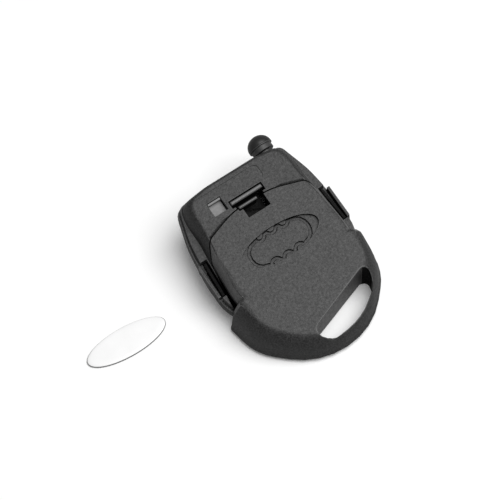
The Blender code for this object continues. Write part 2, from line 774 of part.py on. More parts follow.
def make_latch(shop):
    """Latch tongue: a sunk tongue with a cross bar and a catch at the head's notch."""
    pivot_y = LATCH_HIGH - GAP - LATCH_BAR_WIDTH / 2
    pivot_z = -TONGUE_TOP_DEPTH - TONGUE_THICKNESS / 2
    pivot = bpy.data.objects.new("latch_pivot", None)
    shop.parts.objects.link(pivot)
    pivot.parent = shop.back
    pivot.location = (0.0, pivot_y, pivot_z)

    left = NOTCH_MOUTH_LEFT + GAP
    right = NOTCH_RIGHT - GAP
    base = -pivot_z - TONGUE_TOP_DEPTH
    tongue = shop.block(
        "latch_tongue",
        (left, NOTCH_LOW + GAP - pivot_y, base - TONGUE_THICKNESS),
        (right, LATCH_HIGH - GAP - pivot_y, base),
        "black_plastic",
        pivot,
    )
    bar_low = LATCH_HIGH - GAP - LATCH_BAR_WIDTH - pivot_y
    bar = shop.block(
        "latch_bar_form",
        (LATCH_LEFT + GAP, bar_low, base - TONGUE_THICKNESS / 2),
        (LATCH_RIGHT - GAP, LATCH_HIGH - GAP - pivot_y, -pivot_z - LATCH_BAR_TOP_DEPTH),
        frame=pivot,
    )
    combine(tongue, bar, "UNION")
    catch_low = NOTCH_MOUTH_LOW + GAP + CATCH_SETBACK - pivot_y
    catch = shop.block(
        "latch_catch_form",
        (CATCH_LEFT, catch_low, base - TONGUE_THICKNESS / 2),
        (CATCH_RIGHT, catch_low + CATCH_WIDTH, -pivot_z - CATCH_TOP_DEPTH),
        frame=pivot,
    )
    combine(tongue, catch, "UNION")
    pin = shop.rod(
        "latch_pin_form",
        TONGUE_THICKNESS / 2,
        LATCH_LEFT + GAP,
        LATCH_RIGHT - GAP,
        (0.0, 0.0),
        frame=pivot,
        sides=SMALL_SIDES,
        along="X",
    )
    combine(tongue, pin, "UNION")
    return tongue


# Front cover


def front_rings(wall):
    """Rings of the front cover's outer skin, or of its inner skin for a wall."""
    rim = unit_corners()
    panel = panel_corners()
    top_depth = PARTING_DEPTH + GAP
    rings = []
    if wall:
        rim = offset_corners(rim, wall)
        panel = offset_corners(panel, wall * PANEL_SHOULDER_SHARE)
        rings.append(on_back(rounded(rim), top_depth - OVERRUN))
        rings.append(on_back(rounded(rim), RIM_DEPTH - wall / 2))
    else:
        bead = offset_corners(rim, -BEAD_STAND)
        rings.append(on_back(rounded(rim), top_depth))
        rings.append(on_back(rounded(bead), BEAD_DEPTH))
        rings.append(on_back(rounded(bead), RIM_DEPTH))
    for in_share, height_share in DOME_SHARES:
        outline = rounded(mixed_corners(rim, panel, in_share))
        ring = []
        for x, y in outline:
            rim_height = back_height(y, RIM_DEPTH)
            ring.append((x, y, wall + (rim_height - wall) * height_share))
        rings.append(ring)
    return rings


def blade_axis(shop, name):
    """Empty on the blade's axis, which lies in the parting plane of the covers."""
    axis = bpy.data.objects.new(name, None)
    shop.parts.objects.link(axis)
    axis.parent = shop.back
    axis.location = (BLADE_X, 0.0, -PARTING_DEPTH * math.cos(BACK_ANGLE))
    axis.rotation_euler = (math.radians(-90), 0.0, 0.0)
    return axis


def collar_way(shop, name):
    """The seat that the blade collar and its flange leave in both covers."""
    flange_end = COLLAR_START + COLLAR_FLANGE_LENGTH + GAP
    radius = COLLAR_RADIUS + GAP
    wide = COLLAR_FLANGE_RADIUS + GAP
    mouth = BULB_NECK_RADIUS + GAP
    profile = [
        (0.0, COLLAR_END + OVERRUN),
        (mouth, COLLAR_END + OVERRUN),
        (mouth, COLLAR_END),
        (radius, COLLAR_END),
        (radius, flange_end),
        (wide, flange_end),
        (wide, COLLAR_START - GAP),
        (0.0, COLLAR_START - GAP),
    ]
    return shop.turned(name, profile, None, shop.blade)


def make_front_cover(shop):
    """Front cover: a domed shell with a flat panel, button holes, posts and clip bars."""
    cover = shop.loft("front_cover", front_rings(0.0), "black_plastic")
    combine(cover, shop.loft("front_hollow_cutter", front_rings(FRONT_WALL)))

    for side, word in ((-1, "left"), (1, "right")):
        clip = clip_outline(side)
        root = [(x, y, CLIP_ROOT_HEIGHT + BACK_CLIMB_SHARE * y / 2) for x, y in clip]
        bar = shop.loft(f"front_clip_{word}", [root, on_back(clip, CLIP_TOP_DEPTH)])
        combine(cover, bar, "UNION")
        guard = side_prism(
            shop, f"front_guard_{word}", guard_outline(side), GUARD_ROOT_DEPTH, GUARD_TOP_DEPTH
        )
        combine(cover, guard, "UNION")

    post_top = BOARD_HEIGHT - GAP
    left, right, _, _ = pad_bounds()
    for x in (left - GAP - POST_RADIUS, right + GAP + POST_RADIUS):
        for y in (-BOARD_BOTTOM + POST_INSET, PANEL_TOP):
            post = shop.rod(
                f"front_post_{len(cover.modifiers)}", POST_RADIUS, FRONT_WALL / 2, post_top,
                (x, y), sides=SMALL_SIDES
            )
            combine(cover, post, "UNION")

    for name, x, y in BUTTON_PLACES:
        hole = shop.plate(name + "_hole", button_outline(x, y, GAP), -OVERRUN, FRONT_WALL + GAP / 2)
        combine(cover, hole)
    combine(cover, collar_way(shop, "front_collar_way"))
    return cover


def button_outline(x, y, grow):
    """Outline of a button about a place, grown by a clearance."""
    half_x = BUTTON_LENGTH / 2 + grow
    half_y = BUTTON_HEIGHT / 2 + grow
    radius = BUTTON_CORNER + grow
    return rounded([
        (x - half_x, y + half_y, radius),
        (x + half_x, y + half_y, radius),
        (x + half_x, y - half_y, radius),
        (x - half_x, y - half_y, radius),
    ])


def pad_bounds():
    """Left, right, bottom and top of the rubber pad, a rim beyond the button flanges."""
    reach_x = BUTTON_LENGTH / 2 + BUTTON_FLANGE + GAP + PAD_RIM
    reach_y = BUTTON_HEIGHT / 2 + BUTTON_FLANGE + GAP + PAD_RIM
    return (
        min(x for name, x, y in BUTTON_PLACES) - reach_x,
        max(x for name, x, y in BUTTON_PLACES) + reach_x,
        min(y for name, x, y in BUTTON_PLACES) - reach_y,
        max(y for name, x, y in BUTTON_PLACES) + reach_y,
    )


def plunger_low():
    """Height of the low end of a switch plunger."""
    return BOARD_HEIGHT - GAP - SWITCH_SIZE[2] - PLUNGER_REST_GAP - PLUNGER_DEPTH


def make_buttons(shop):
    """Three buttons in the front panel, each with a flange behind the panel."""
    flange_low = FRONT_WALL + GAP
    for name, x, y in BUTTON_PLACES:
        pivot = bpy.data.objects.new(name + "_travel", None)
        shop.parts.objects.link(pivot)
        pivot.location = (x, y, 0.0)
        top = plunger_low() - GAP
        button = shop.plate(name, button_outline(0.0, 0.0, 0.0), BUTTON_RECESS, top, "dark_rubber", pivot)
        flange = shop.plate(
            name + "_flange",
            button_outline(0.0, 0.0, BUTTON_FLANGE),
            flange_low,
            flange_low + BUTTON_FLANGE_THICKNESS,
            frame=pivot,
        )
        combine(button, flange, "UNION")


def make_button_pad(shop):
    """Rubber pad around the buttons, just behind the front panel."""
    low = FRONT_WALL + GAP
    left, right, bottom, top = pad_bounds()
    outline = rounded([
        (left, top, PAD_CORNER),
        (right, top, PAD_CORNER),
        (right, bottom, PAD_CORNER),
        (left, bottom, PAD_CORNER),
    ])
    pad = shop.plate("button_pad", outline, low, low + PAD_THICKNESS, "dark_rubber")
    for name, x, y in BUTTON_PLACES:
        hole = shop.plate(
            name + "_pad_hole", button_outline(x, y, BUTTON_FLANGE + GAP), low - OVERRUN, low + OVERRUN
        )
        combine(pad, hole)
    return pad


# Board, cell and carrier


def centred_block(shop, name, place, size, low, material):
    """Make a block about a plan place, standing at a height."""
    half_x = size[0] / 2
    half_y = size[1] / 2
    return shop.block(
        name,
        (place[0] - half_x, place[1] - half_y, low),
        (place[0] + half_x, place[1] + half_y, low + size[2]),
        material,
    )


def make_board(shop):
    """Circuit board with its controller, its resonator and the switches below it."""
    outline = rounded([
        (-BOARD_HALF_WIDTH, BOARD_TOP, BOARD_CORNER),
        (BOARD_HALF_WIDTH, BOARD_TOP, BOARD_CORNER),
        (BOARD_HALF_WIDTH, -BOARD_BOTTOM, BOARD_CORNER),
        (-BOARD_HALF_WIDTH, -BOARD_BOTTOM, BOARD_CORNER),
    ])
    top = BOARD_HEIGHT + BOARD_THICKNESS
    shop.plate("circuit_board", outline, BOARD_HEIGHT, top, "board_laminate")
    centred_block(shop, "controller_chip", CONTROLLER_PLACE, CONTROLLER_SIZE, top + GAP, "chip_resin")
    centred_block(shop, "resonator_can", RESONATOR_PLACE, RESONATOR_SIZE, top + GAP, "bright_metal")
    switch_low = BOARD_HEIGHT - GAP - SWITCH_SIZE[2]
    for name, x, y in BUTTON_PLACES:
        word = name.split("_")[1]
        centred_block(shop, f"switch_{word}", (x, y), SWITCH_SIZE, switch_low, "bright_metal")
        low = plunger_low()
        shop.rod(
            f"plunger_{word}", PLUNGER_RADIUS, low, low + PLUNGER_DEPTH,
            (x, y), "chip_resin", sides=SMALL_SIDES
        )


def make_cell(shop):
    """Coin cell, its two contacts and the carrier that holds them on the board."""
    board_top = BOARD_HEIGHT + BOARD_THICKNESS
    base_low = board_top + GAP
    cell_low = base_low + CONTACT_THICKNESS + GAP
    cell_high = cell_low + CELL_THICKNESS
    rim_low = cell_low + CELL_CAP_STEP
    cell = shop.turned(
        "coin_cell",
        [
            (0.0, cell_high),
            (CELL_RADIUS, cell_high),
            (CELL_RADIUS, rim_low),
            (CELL_CAP_RADIUS, rim_low),
            (CELL_CAP_RADIUS, cell_low),
            (0.0, cell_low),
        ],
        "bright_metal",
    )
    cell.location = (0.0, CELL_Y, 0.0)

    half = CONTACT_WIDTH / 2
    shop.block(
        "cell_contact_minus",
        (-half, CELL_Y - CONTACT_LENGTH / 2, base_low),
        (half, CELL_Y + CONTACT_LENGTH / 2, base_low + CONTACT_THICKNESS),
        "contact_metal",
    )
    plus_low = cell_high + GAP
    reach = CELL_Y - CELL_RADIUS - GAP
    plus = shop.block(
        "cell_contact_plus",
        (-half, reach - CONTACT_THICKNESS, plus_low),
        (half, CELL_Y - CONTACT_LEG, plus_low + CONTACT_THICKNESS),
        "contact_metal",
    )
    leg = shop.block(
        "plus_leg_form",
        (-half, reach - CONTACT_THICKNESS, board_top + GAP),
        (half, reach, plus_low + CONTACT_THICKNESS / 2),
    )
    combine(plus, leg, "UNION")

    carrier = shop.plate(
        "cell_carrier",
        rounded([
            (-CARRIER_HALF_WIDTH, CARRIER_END, CARRIER_CORNER),
            (CARRIER_HALF_WIDTH, CARRIER_END, CARRIER_CORNER),
            (CARRIER_HALF_WIDTH, CARRIER_START, CARRIER_CORNER),
            (-CARRIER_HALF_WIDTH, CARRIER_START, CARRIER_CORNER),
        ]),
        base_low,
        CARRIER_TOP,
        "pale_plastic",
    )
    roof = back_height(UNIT_TOP)
    half_post = CARRIER_POST_SIZE / 2
    post_x = CARRIER_HALF_WIDTH - CARRIER_POST_INSET
    post_y = CARRIER_END - CARRIER_POST_INSET
    posts = shop.block(
        "carrier_post_right",
        (post_x - half_post, post_y - half_post, CARRIER_TOP - GAP),
        (post_x + half_post, post_y + half_post, roof),
    )
    half_pad = SIGHT_PAD_SIZE / 2
    pad_y = SIGHT_CENTRE_Y * math.cos(BACK_ANGLE) + SIGHT_PAD_DEPTH * math.sin(BACK_ANGLE)
    pad = shop.block(
        "carrier_sight_pad",
        (SIGHT_CENTRE_X - half_pad, pad_y - half_pad, CARRIER_TOP - GAP),
        (SIGHT_CENTRE_X + half_pad, pad_y + half_pad, roof),
    )
    combine(posts, pad, "UNION")
    trim = shop.block(
        "carrier_roof_cutter",
        (-UNIT_HALF_WIDTH, -UNIT_TOP, -SIGHT_PAD_DEPTH),
        (UNIT_HALF_WIDTH, UNIT_TOP + UNIT_TOP, UNIT_TOP),
        frame=shop.back,
    )
    combine(posts, trim)
    bar = shop.block(
        "carrier_sight_bar",
        (SIGHT_CENTRE_X - half_pad, SIGHT_CENTRE_Y + half_pad - SIGHT_BAR_WIDTH, -SIGHT_PAD_DEPTH - GAP),
        (SIGHT_CENTRE_X + half_pad, SIGHT_CENTRE_Y + half_pad, -SIGHT_BAR_DEPTH),
        frame=shop.back,
    )
    combine(posts, bar, "UNION")
    combine(carrier, posts, "UNION")
    bay = shop.rod(
        "carrier_bay", CELL_RADIUS + GAP, base_low - OVERRUN, cell_high + GAP, (0.0, CELL_Y)
    )
    combine(carrier, bay)
    slot = shop.block(
        "carrier_contact_slot",
        (-half - GAP, CARRIER_START + WALL, base_low - OVERRUN - GAP),
        (half + GAP, CELL_Y, CARRIER_TOP + OVERRUN),
    )
    combine(carrier, slot)


# Key head


def slot_corners(grow=0.0):
    """Corners of the key-ring slot: a straight chord closed by an arc about the ring."""
    radius = SLOT_OUTER_RADIUS
    left = Vector((SLOT_CHORD_LEFT_X, SLOT_CHORD_LEFT_Y))
    chord = Vector((math.cos(SLOT_CHORD_ANGLE), math.sin(SLOT_CHORD_ANGLE)))
    right = left + chord * SLOT_CHORD_LENGTH
    centre = Vector((0.0, RING_CENTRE_Y))
    first = math.atan2(right.y - centre.y, right.x - centre.x)
    last = math.atan2(left.y - centre.y, left.x - centre.x)
    corners = [(left.x, left.y, SLOT_CORNER), (right.x, right.y, SLOT_CORNER)]
    step = (last - first) / SLOT_ARC_COUNT
    outer = radius / math.cos(step / 2)
    for index in range(SLOT_ARC_COUNT):
        angle = first + step * (index + 0.5)
        corners.append((centre.x + outer * math.cos(angle), centre.y + outer * math.sin(angle), radius))
    return offset_corners(corners, -grow) if grow else corners


def recess_wall_y(x):
    """Distance of the recess wall from the long axis at a place along it."""
    return RECESS_HALF_HEIGHT * math.sqrt(1 - (x / RECESS_HALF_LENGTH) ** 2)


def groove_points():
    """Points of the glue groove: round ends, and bays that bulge in from both long walls."""
    points = []
    bays = [(index - (GROOVE_BAY_COUNT - 1) / 2) * GROOVE_BAY_PITCH for index in range(GROOVE_BAY_COUNT)]
    edge = math.asin(GROOVE_HALF_WIDTH / GROOVE_BAY_RADIUS)
    for side in (1, -1):
        for place in bays:
            centre_x = side * place
            centre_y = side * recess_wall_y(place)
            for step in range(GROOVE_STEPS + 1):
                angle = math.pi + edge + (math.pi - 2 * edge) * step / GROOVE_STEPS
                points.append((
                    centre_x + side * GROOVE_BAY_RADIUS * math.cos(angle),
                    centre_y + side * GROOVE_BAY_RADIUS * math.sin(angle),
                ))
        end_x = side * GROOVE_END_X
        for step in range(GROOVE_STEPS + 1):
            angle = side * math.pi / 2 - math.pi * step / GROOVE_STEPS
            points.append((end_x + GROOVE_END_RADIUS * math.cos(angle), GROOVE_END_HEIGHT * math.sin(angle)))
    return points


def kept_inside(corners, half_length, half_height):
    """Plan points of corners, moved in to an oval where they lie beyond it."""
    kept = []
    for x, y, _ in corners:
        scale = max(math.hypot(x / half_length, y / half_height), 1.0)
        kept.append((x / scale, y / scale))
    return kept


def groove_cutter(shop, name):
    """Flat-bottomed cutter along the glue groove, kept inside the recess wall."""
    low = -RECESS_DEPTH - GROOVE_DEPTH
    high = -RECESS_DEPTH + GAP
    line = [(x, y, 0.0) for x, y in groove_points()]
    length = RECESS_HALF_LENGTH - GROOVE_WALL_GAP
    height = RECESS_HALF_HEIGHT - GROOVE_WALL_GAP
    outer = kept_inside(offset_corners(line, -GROOVE_HALF_WIDTH), length, height)
    inner = kept_inside(offset_corners(line, GROOVE_HALF_WIDTH), length, height)
    rings = [at_height(outer, low), at_height(outer, high), at_height(inner, high), at_height(inner, low)]
    return shop.band(name, rings, shop.back)


def oval(half_length, half_height):
    """Points of an oval."""
    turn = 2 * math.pi / RECESS_SIDES
    return [
        (half_length * math.cos(turn * index), half_height * math.sin(turn * index))
        for index in range(RECESS_SIDES)
    ]


def make_key_head(shop):
    """Key head: arched plate, thick ring end, slot, badge recess, notch and bay."""
    fuse = partial(combine, solver="MANIFOLD")
    low = offset_corners(ring_end_corners(0.0), FOOT_EDGE_INSET)
    rings = [at_height(rounded(low), 0.0)]
    for in_share, height_share in RING_SLOPE_SHARES:
        outline = rounded(ring_end_corners(RING_SLOPE_WIDTH * in_share))
        ring = []
        for x, y in outline:
            height = FOOT_EDGE_HEIGHT + (back_height(y) - FOOT_EDGE_HEIGHT) * height_share
            ring.append((x, y, height))
        rings.append(ring)
    head = shop.loft("key_head", rings, "black_plastic")

    plate = raised_back(shop, "head_plate_form")
    region = rounded(arch_corners())
    limit = shop.loft(
        "head_arch_limit", [on_back(region, LEDGE_DEPTH + OVERRUN), on_back(region, -OVERRUN)]
    )
    fuse(plate, limit, "INTERSECT")
    fuse(head, plate, "UNION")

    rear = -sloped(UNIT_BOTTOM + GAP)
    far = sloped(UNIT_TOP)
    tunnel = shop.block(
        "head_tunnel_cutter",
        (-DECK_HALF_WIDTH - GAP, rear, -LIP_DEPTH),
        (DECK_HALF_WIDTH + GAP, far, -PLATE_THICKNESS),
        frame=shop.back,
    )
    throat = shop.block(
        "head_throat_cutter",
        (-NECK_HALF_WIDTH - GAP, rear, -LEDGE_DEPTH - OVERRUN),
        (NECK_HALF_WIDTH + GAP, far, -LIP_DEPTH + GAP / 2),
        frame=shop.back,
    )
    fuse(tunnel, throat, "UNION")
    fuse(tunnel, unit_prism(shop, "head_tunnel_bounds", -GAP, LEDGE_DEPTH + OVERRUN, 0.0), "INTERSECT")
    fuse(head, tunnel)
    rim = rounded(offset_corners(unit_corners(), -GAP - BEAD_STAND))
    nest = shop.loft(
        "head_nest_cutter", [at_height(rim, -OVERRUN), on_back(rim, LEDGE_DEPTH - GAP)]
    )
    fuse(head, nest)

    slot = shop.loft(
        "head_slot_cutter",
        [at_height(rounded(slot_corners()), -OVERRUN), at_height(rounded(slot_corners()), BACK_HEIGHT)],
    )
    fuse(head, slot)
    fuse(head, shop.plate(
        "head_recess_cutter", oval(RECESS_HALF_LENGTH, RECESS_HALF_HEIGHT),
        -RECESS_DEPTH, OVERRUN, frame=shop.back
    ))
    fuse(head, groove_cutter(shop, "head_groove_cutter"))

    notch = shop.block(
        "head_notch_cutter",
        (NOTCH_LEFT, NOTCH_LOW, -LEDGE_DEPTH),
        (NOTCH_RIGHT, LATCH_HIGH, OVERRUN),
        frame=shop.back,
    )
    mouth = shop.block(
        "head_notch_mouth",
        (NOTCH_MOUTH_LEFT, NOTCH_MOUTH_LOW, -LEDGE_DEPTH + GAP),
        (NOTCH_RIGHT - GAP, LATCH_HIGH - GAP, OVERRUN + GAP),
        frame=shop.back,
    )
    fuse(notch, mouth, "UNION")
    fuse(head, notch)

    chip_end = rear - CHIP_SETBACK
    pocket = shop.block(
        "head_chip_cutter",
        (-CHIP_LENGTH / 2 - GAP, chip_end - CHIP_WIDTH - GAP, -CHIP_TOP_DEPTH - CHIP_HEIGHT - GAP),
        (CHIP_LENGTH / 2 + GAP, rear + GAP, -CHIP_TOP_DEPTH + GAP),
        frame=shop.back,
    )
    fuse(head, pocket)
    shop.block(
        "transponder",
        (-CHIP_LENGTH / 2, chip_end - CHIP_WIDTH, -CHIP_TOP_DEPTH - CHIP_HEIGHT),
        (CHIP_LENGTH / 2, chip_end, -CHIP_TOP_DEPTH),
        "chip_resin",
        shop.back,
    )
    return head


def make_badge(shop):
    """Blank oval badge, lying face up on the floor beside the shell."""
    badge = shop.plate(
        "badge_insert",
        oval(RECESS_HALF_LENGTH - GAP, RECESS_HALF_HEIGHT - GAP),
        0.0,
        BADGE_THICKNESS,
        "badge_plastic",
    )
    badge.location.x = BADGE_X
    badge.location.y = BADGE_Y
    badge.rotation_euler = (0.0, 0.0, BADGE_TURN)


# Blade collar and plug


def make_blade_end(shop):
    """Collar clamped at the blade end, and the round plug that closes it."""
    flange_end = COLLAR_START + COLLAR_FLANGE_LENGTH
    collar = shop.turned(
        "blade_collar",
        [
            (COLLAR_BORE, COLLAR_END),
            (COLLAR_RADIUS, COLLAR_END),
            (COLLAR_RADIUS, flange_end),
            (COLLAR_FLANGE_RADIUS, flange_end),
            (COLLAR_FLANGE_RADIUS, COLLAR_START),
            (COLLAR_BORE, COLLAR_START),
            (COLLAR_BORE, COLLAR_END),
        ],
        "black_plastic",
        shop.blade,
    )
    neck = COLLAR_END + GAP
    profile = []
    for step in range(BALL_STEPS + 1):
        angle = math.pi / 2 * (1 - step / BALL_STEPS)
        profile.append((BULB_RADIUS * math.cos(angle), BULB_CENTRE + BULB_RADIUS * math.sin(angle)))
    profile.append((BULB_RADIUS, BULB_CENTRE - BULB_RIM))
    profile.append((BULB_NECK_RADIUS, BULB_CENTRE - BULB_RIM))
    profile.append((BULB_NECK_RADIUS, neck))
    stem = COLLAR_BORE - GAP
    profile.append((stem, neck))
    profile.append((stem, neck - STEM_LENGTH))
    profile.append((0.0, neck - STEM_LENGTH))
    shop.turned("blade_plug", profile, "black_plastic", shop.blade)
    return collar


def main():
    """Build the whole part."""
    clear_scene()
    shop = Workshop()
    shop.blade = blade_axis(shop, "blade_axis")
    make_key_head(shop)
    make_badge(shop)
    make_rear_cover(shop)
    make_latch(shop)
    make_front_cover(shop)
    make_buttons(shop)
    make_button_pad(shop)
    make_board(shop)
    make_cell(shop)
    make_blade_end(shop)
    bpy.context.view_layer.update()


main()
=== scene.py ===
"""Looks of a car key shell that lies on its front, with its badge beside it.

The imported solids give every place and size. Each visible moulding is a welded,
edge-rounded skin over its solid, and the small pieces are shaped anew in the
room that their solids hold.
"""
import logging
import math
from dataclasses import dataclass
from enum import Enum, IntEnum
from functools import cached_property
from typing import Callable, Iterable, Optional, Sequence

import bmesh
import bpy
from bmesh.types import BMEdge, BMesh, BMFace, BMVert
from mathutils import Matrix, Vector


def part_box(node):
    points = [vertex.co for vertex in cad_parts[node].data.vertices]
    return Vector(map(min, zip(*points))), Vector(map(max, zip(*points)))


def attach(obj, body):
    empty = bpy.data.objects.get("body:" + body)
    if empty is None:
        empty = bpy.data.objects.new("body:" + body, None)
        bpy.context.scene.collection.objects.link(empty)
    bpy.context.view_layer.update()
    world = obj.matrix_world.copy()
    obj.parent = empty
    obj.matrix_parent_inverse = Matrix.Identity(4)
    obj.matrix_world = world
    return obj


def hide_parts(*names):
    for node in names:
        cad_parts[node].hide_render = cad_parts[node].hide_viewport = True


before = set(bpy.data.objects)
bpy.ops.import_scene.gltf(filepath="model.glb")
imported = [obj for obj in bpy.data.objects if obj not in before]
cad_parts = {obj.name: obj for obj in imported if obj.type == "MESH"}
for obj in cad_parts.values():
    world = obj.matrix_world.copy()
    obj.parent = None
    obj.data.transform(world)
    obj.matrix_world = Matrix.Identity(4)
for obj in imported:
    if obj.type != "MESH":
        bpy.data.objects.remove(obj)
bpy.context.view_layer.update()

MM = 0.001
LOG = logging.getLogger("car_key_shell")

WELD = 0.002 * MM
BACK_HEIGHT = 14.5 * MM
BACK_CLIMB = 0.25
BACK_TURN = math.atan(BACK_CLIMB)
BACK = Matrix.Translation((0.0, 0.0, BACK_HEIGHT)) @ Matrix.Rotation(BACK_TURN, 4, "X")
BACK_FROM = BACK.inverted()
UPRIGHT = BACK.to_3x3() @ Vector((0.0, 0.0, 1.0))
BLADE_SIDE = 12.4 * MM
BLADE_DROP = 6.2 * MM
BLADE = (BACK @ Matrix.Translation((BLADE_SIDE, 0.0, -BLADE_DROP * math.cos(BACK_TURN)))
         @ Matrix.Rotation(math.radians(-90.0), 4, "X"))

Pair = tuple[float, float]
Triple = tuple[float, float, float]
Point = Sequence[float]
Profile = Sequence[Pair]
Socket = bpy.types.NodeSocket


class Body(str, Enum):
    """The moving groups that the pieces ride on."""

    HEAD = "key_head"
    TRANSMITTER = "transmitter"
    LATCH = "latch"
    PLUG = "blade_plug"
    FRONT = "front_cover"
    LOCK = "lock_button"
    UNLOCK = "unlock_button"
    BOOT = "boot_button"
    LOCK_PLUNGER = "lock_plunger"
    UNLOCK_PLUNGER = "unlock_plunger"
    BOOT_PLUNGER = "boot_plunger"


class Mark(Enum):
    """The raised mark by which a finger knows a key."""

    DOT = "dot"
    RING = "ring"
    BAR = "bar"


class Zone(IntEnum):
    """The material numbers of the skins' faces."""

    # Painted highlight on the rounded edges.
    HIGHLIGHT_EDGE = 1
    # Painted shade in hollows, where little light reaches.
    PAINTED_SHADE = 2
    # Painted shade on the badge recess's walls.
    PAINTED_SHADE_WALL = 3
    # Painted light on the ring slot's straight wall.
    PAINTED_LIGHT_SLOT_WALL = 4
    # Painted light on the head's upper side slopes.
    PAINTED_LIGHT_CHEEK = 5
    # Painted highlight along lips and rims.
    PAINTED_HIGHLIGHT_RIM = 6


def grey(level: float) -> Triple:
    """Returns a neutral colour from an sRGB level between 0 and 255."""
    share = level / 255.0
    linear = share / 12.92 if share <= 0.04045 else ((share + 0.055) / 1.055) ** 2.4
    return (linear, linear, linear)


class Graph:
    """The node graph of a new material or world, with short calls that add and join nodes."""

    def __init__(self, name: str, world: bool = False) -> None:
        """Starts an empty graph for a new material of this name, or for a world in its place."""
        self.owner = (bpy.data.worlds if world else bpy.data.materials).new(name)
        self.owner.use_nodes = True
        self.tree = self.owner.node_tree
        self.tree.nodes.clear()
        self.output = self.add("ShaderNodeOutputWorld" if world else "ShaderNodeOutputMaterial")

    def add(self, kind: str, settings: Optional[dict] = None, **inputs: object) -> bpy.types.Node:
        """Returns a new node with these settings and inputs, which are values or sockets.

        The name of an input has _ for a space.
        """
        node = self.tree.nodes.new(kind)
        for key, value in (settings or {}).items():
            setattr(node, key, value)
        for key, value in inputs.items():
            socket = node.inputs[key.replace("_", " ")]
            if isinstance(value, Socket):
                self.tree.links.new(value, socket)
            else:
                socket.default_value = value
        return node

    def join(self, kind: str, *sources: Socket, **settings: str) -> Socket:
        """Returns the first output of a new node whose inputs take sources in order."""
        node = self.add(kind, settings)
        for source, target in zip(sources, node.inputs):
            self.tree.links.new(source, target)
        return node.outputs[0]

    def place(self) -> Socket:
        """Returns the shaded point in the object's own frame."""
        return self.add("ShaderNodeTexCoord").outputs["Object"]

    def noise(self, size: float, detail: float = 2.0, rough: float = 0.5) -> Socket:
        """Returns the value of a noise whose grains are about size across."""
        return self.add("ShaderNodeTexNoise", Vector=self.place(), Scale=1.0 / size, Detail=detail,
                        Roughness=rough).outputs["Fac"]

    def spread(self, source: Socket, low: float, high: float, out_low: float, out_high: float) -> Socket:
        """Returns source mapped from low..high to out_low..out_high."""
        return self.add("ShaderNodeMapRange", Value=source, From_Min=low, From_Max=high, To_Min=out_low,
                        To_Max=out_high).outputs["Result"]

    def blend(self, share: Socket, first: Triple, second: Triple) -> Socket:
        """Returns the colour between first and second by share."""
        node = self.add("ShaderNodeMix", {"data_type": "RGBA"})
        self.tree.links.new(share, node.inputs[0])
        node.inputs[6].default_value = (*first, 1.0)
        node.inputs[7].default_value = (*second, 1.0)
        return node.outputs[2]

    def bump(self, height: Socket, depth: float, strength: float, **under: Socket) -> Socket:
        """Returns a normal raised by height, at most depth high, over the Normal that under gives."""
        return self.add("ShaderNodeBump", Strength=strength, Distance=depth, Height=height,
                        **under).outputs["Normal"]

    def seen(self) -> Socket:
        """Returns 1 for a camera's ray, straight or through a clear piece, and 0 for the others."""
        path = self.add("ShaderNodeLightPath").outputs
        return self.join("ShaderNodeMath", path["Is Camera Ray"], path["Is Transmission Ray"],
                         operation="MAXIMUM")

    def surfaced(self, shader: Socket) -> bpy.types.ID:
        """Joins a shader to the output and returns the material or world."""
        self.tree.links.new(shader, self.output.inputs["Surface"])
        return self.owner

    def coated(self, **inputs: object) -> bpy.types.Material:
        """Returns the material with a principled shader of these inputs."""
        return self.surfaced(self.add("ShaderNodeBsdfPrincipled", **inputs).outputs[0])


@dataclass(frozen=True)
class Finish:
    """What every finish has."""

    name: str
    colour: Triple
    roughness: float

    def build(self) -> bpy.types.Material:
        """Returns a new material of this finish."""
        raise NotImplementedError

    @cached_property
    def material(self) -> bpy.types.Material:
        """The finish as a material, built at its first use."""
        return self.build()

    def tinted(self, factor: float) -> Triple:
        """Returns the colour times a factor."""
        return tuple(share * factor for share in self.colour)


@dataclass(frozen=True)
class Moulded(Finish):
    """Moulded plastic with the spark-eroded grain of its tool."""

    grain: float = 0.42 * MM
    grain_depth: float = 0.06 * MM
    relief: float = 0.9
    mottle: float = 0.95
    specular: float = 0.45
    cloud: float = 9.0 * MM
    gloss_swing: float = 0.07

    def build(self) -> bpy.types.Material:
        """Returns the plastic: mottled colour, uneven gloss, fine pits and a coarser grain."""
        graph = Graph(self.name)
        speck = graph.spread(graph.noise(self.grain, 3.0, 0.75), 0.36, 0.64, 0.0, 0.9)
        cloud = graph.spread(graph.noise(self.cloud), 0.3, 0.7, 0.0, 0.1)
        share = graph.join("ShaderNodeMath", speck, cloud, operation="ADD")
        colour = graph.blend(share, self.tinted(1.0 - self.mottle), self.tinted(1.0 + self.mottle))
        gloss = graph.spread(graph.noise(self.grain * 1.6), 0.32, 0.68, self.roughness - self.gloss_swing,
                             self.roughness + self.gloss_swing)
        pit = graph.add("ShaderNodeTexVoronoi", {"feature": "SMOOTH_F1"}, Vector=graph.place(),
                        Scale=1.0 / (self.grain * 0.62), Smoothness=0.6)
        pits = graph.bump(pit.outputs["Distance"], self.grain_depth * 0.6, self.relief)
        rough = graph.noise(self.grain, 3.0, 0.7)
        normal = graph.bump(rough, self.grain_depth, self.relief, Normal=pits)
        return graph.coated(Base_Color=colour, Roughness=gloss, Normal=normal,
                            Specular_IOR_Level=self.specular)


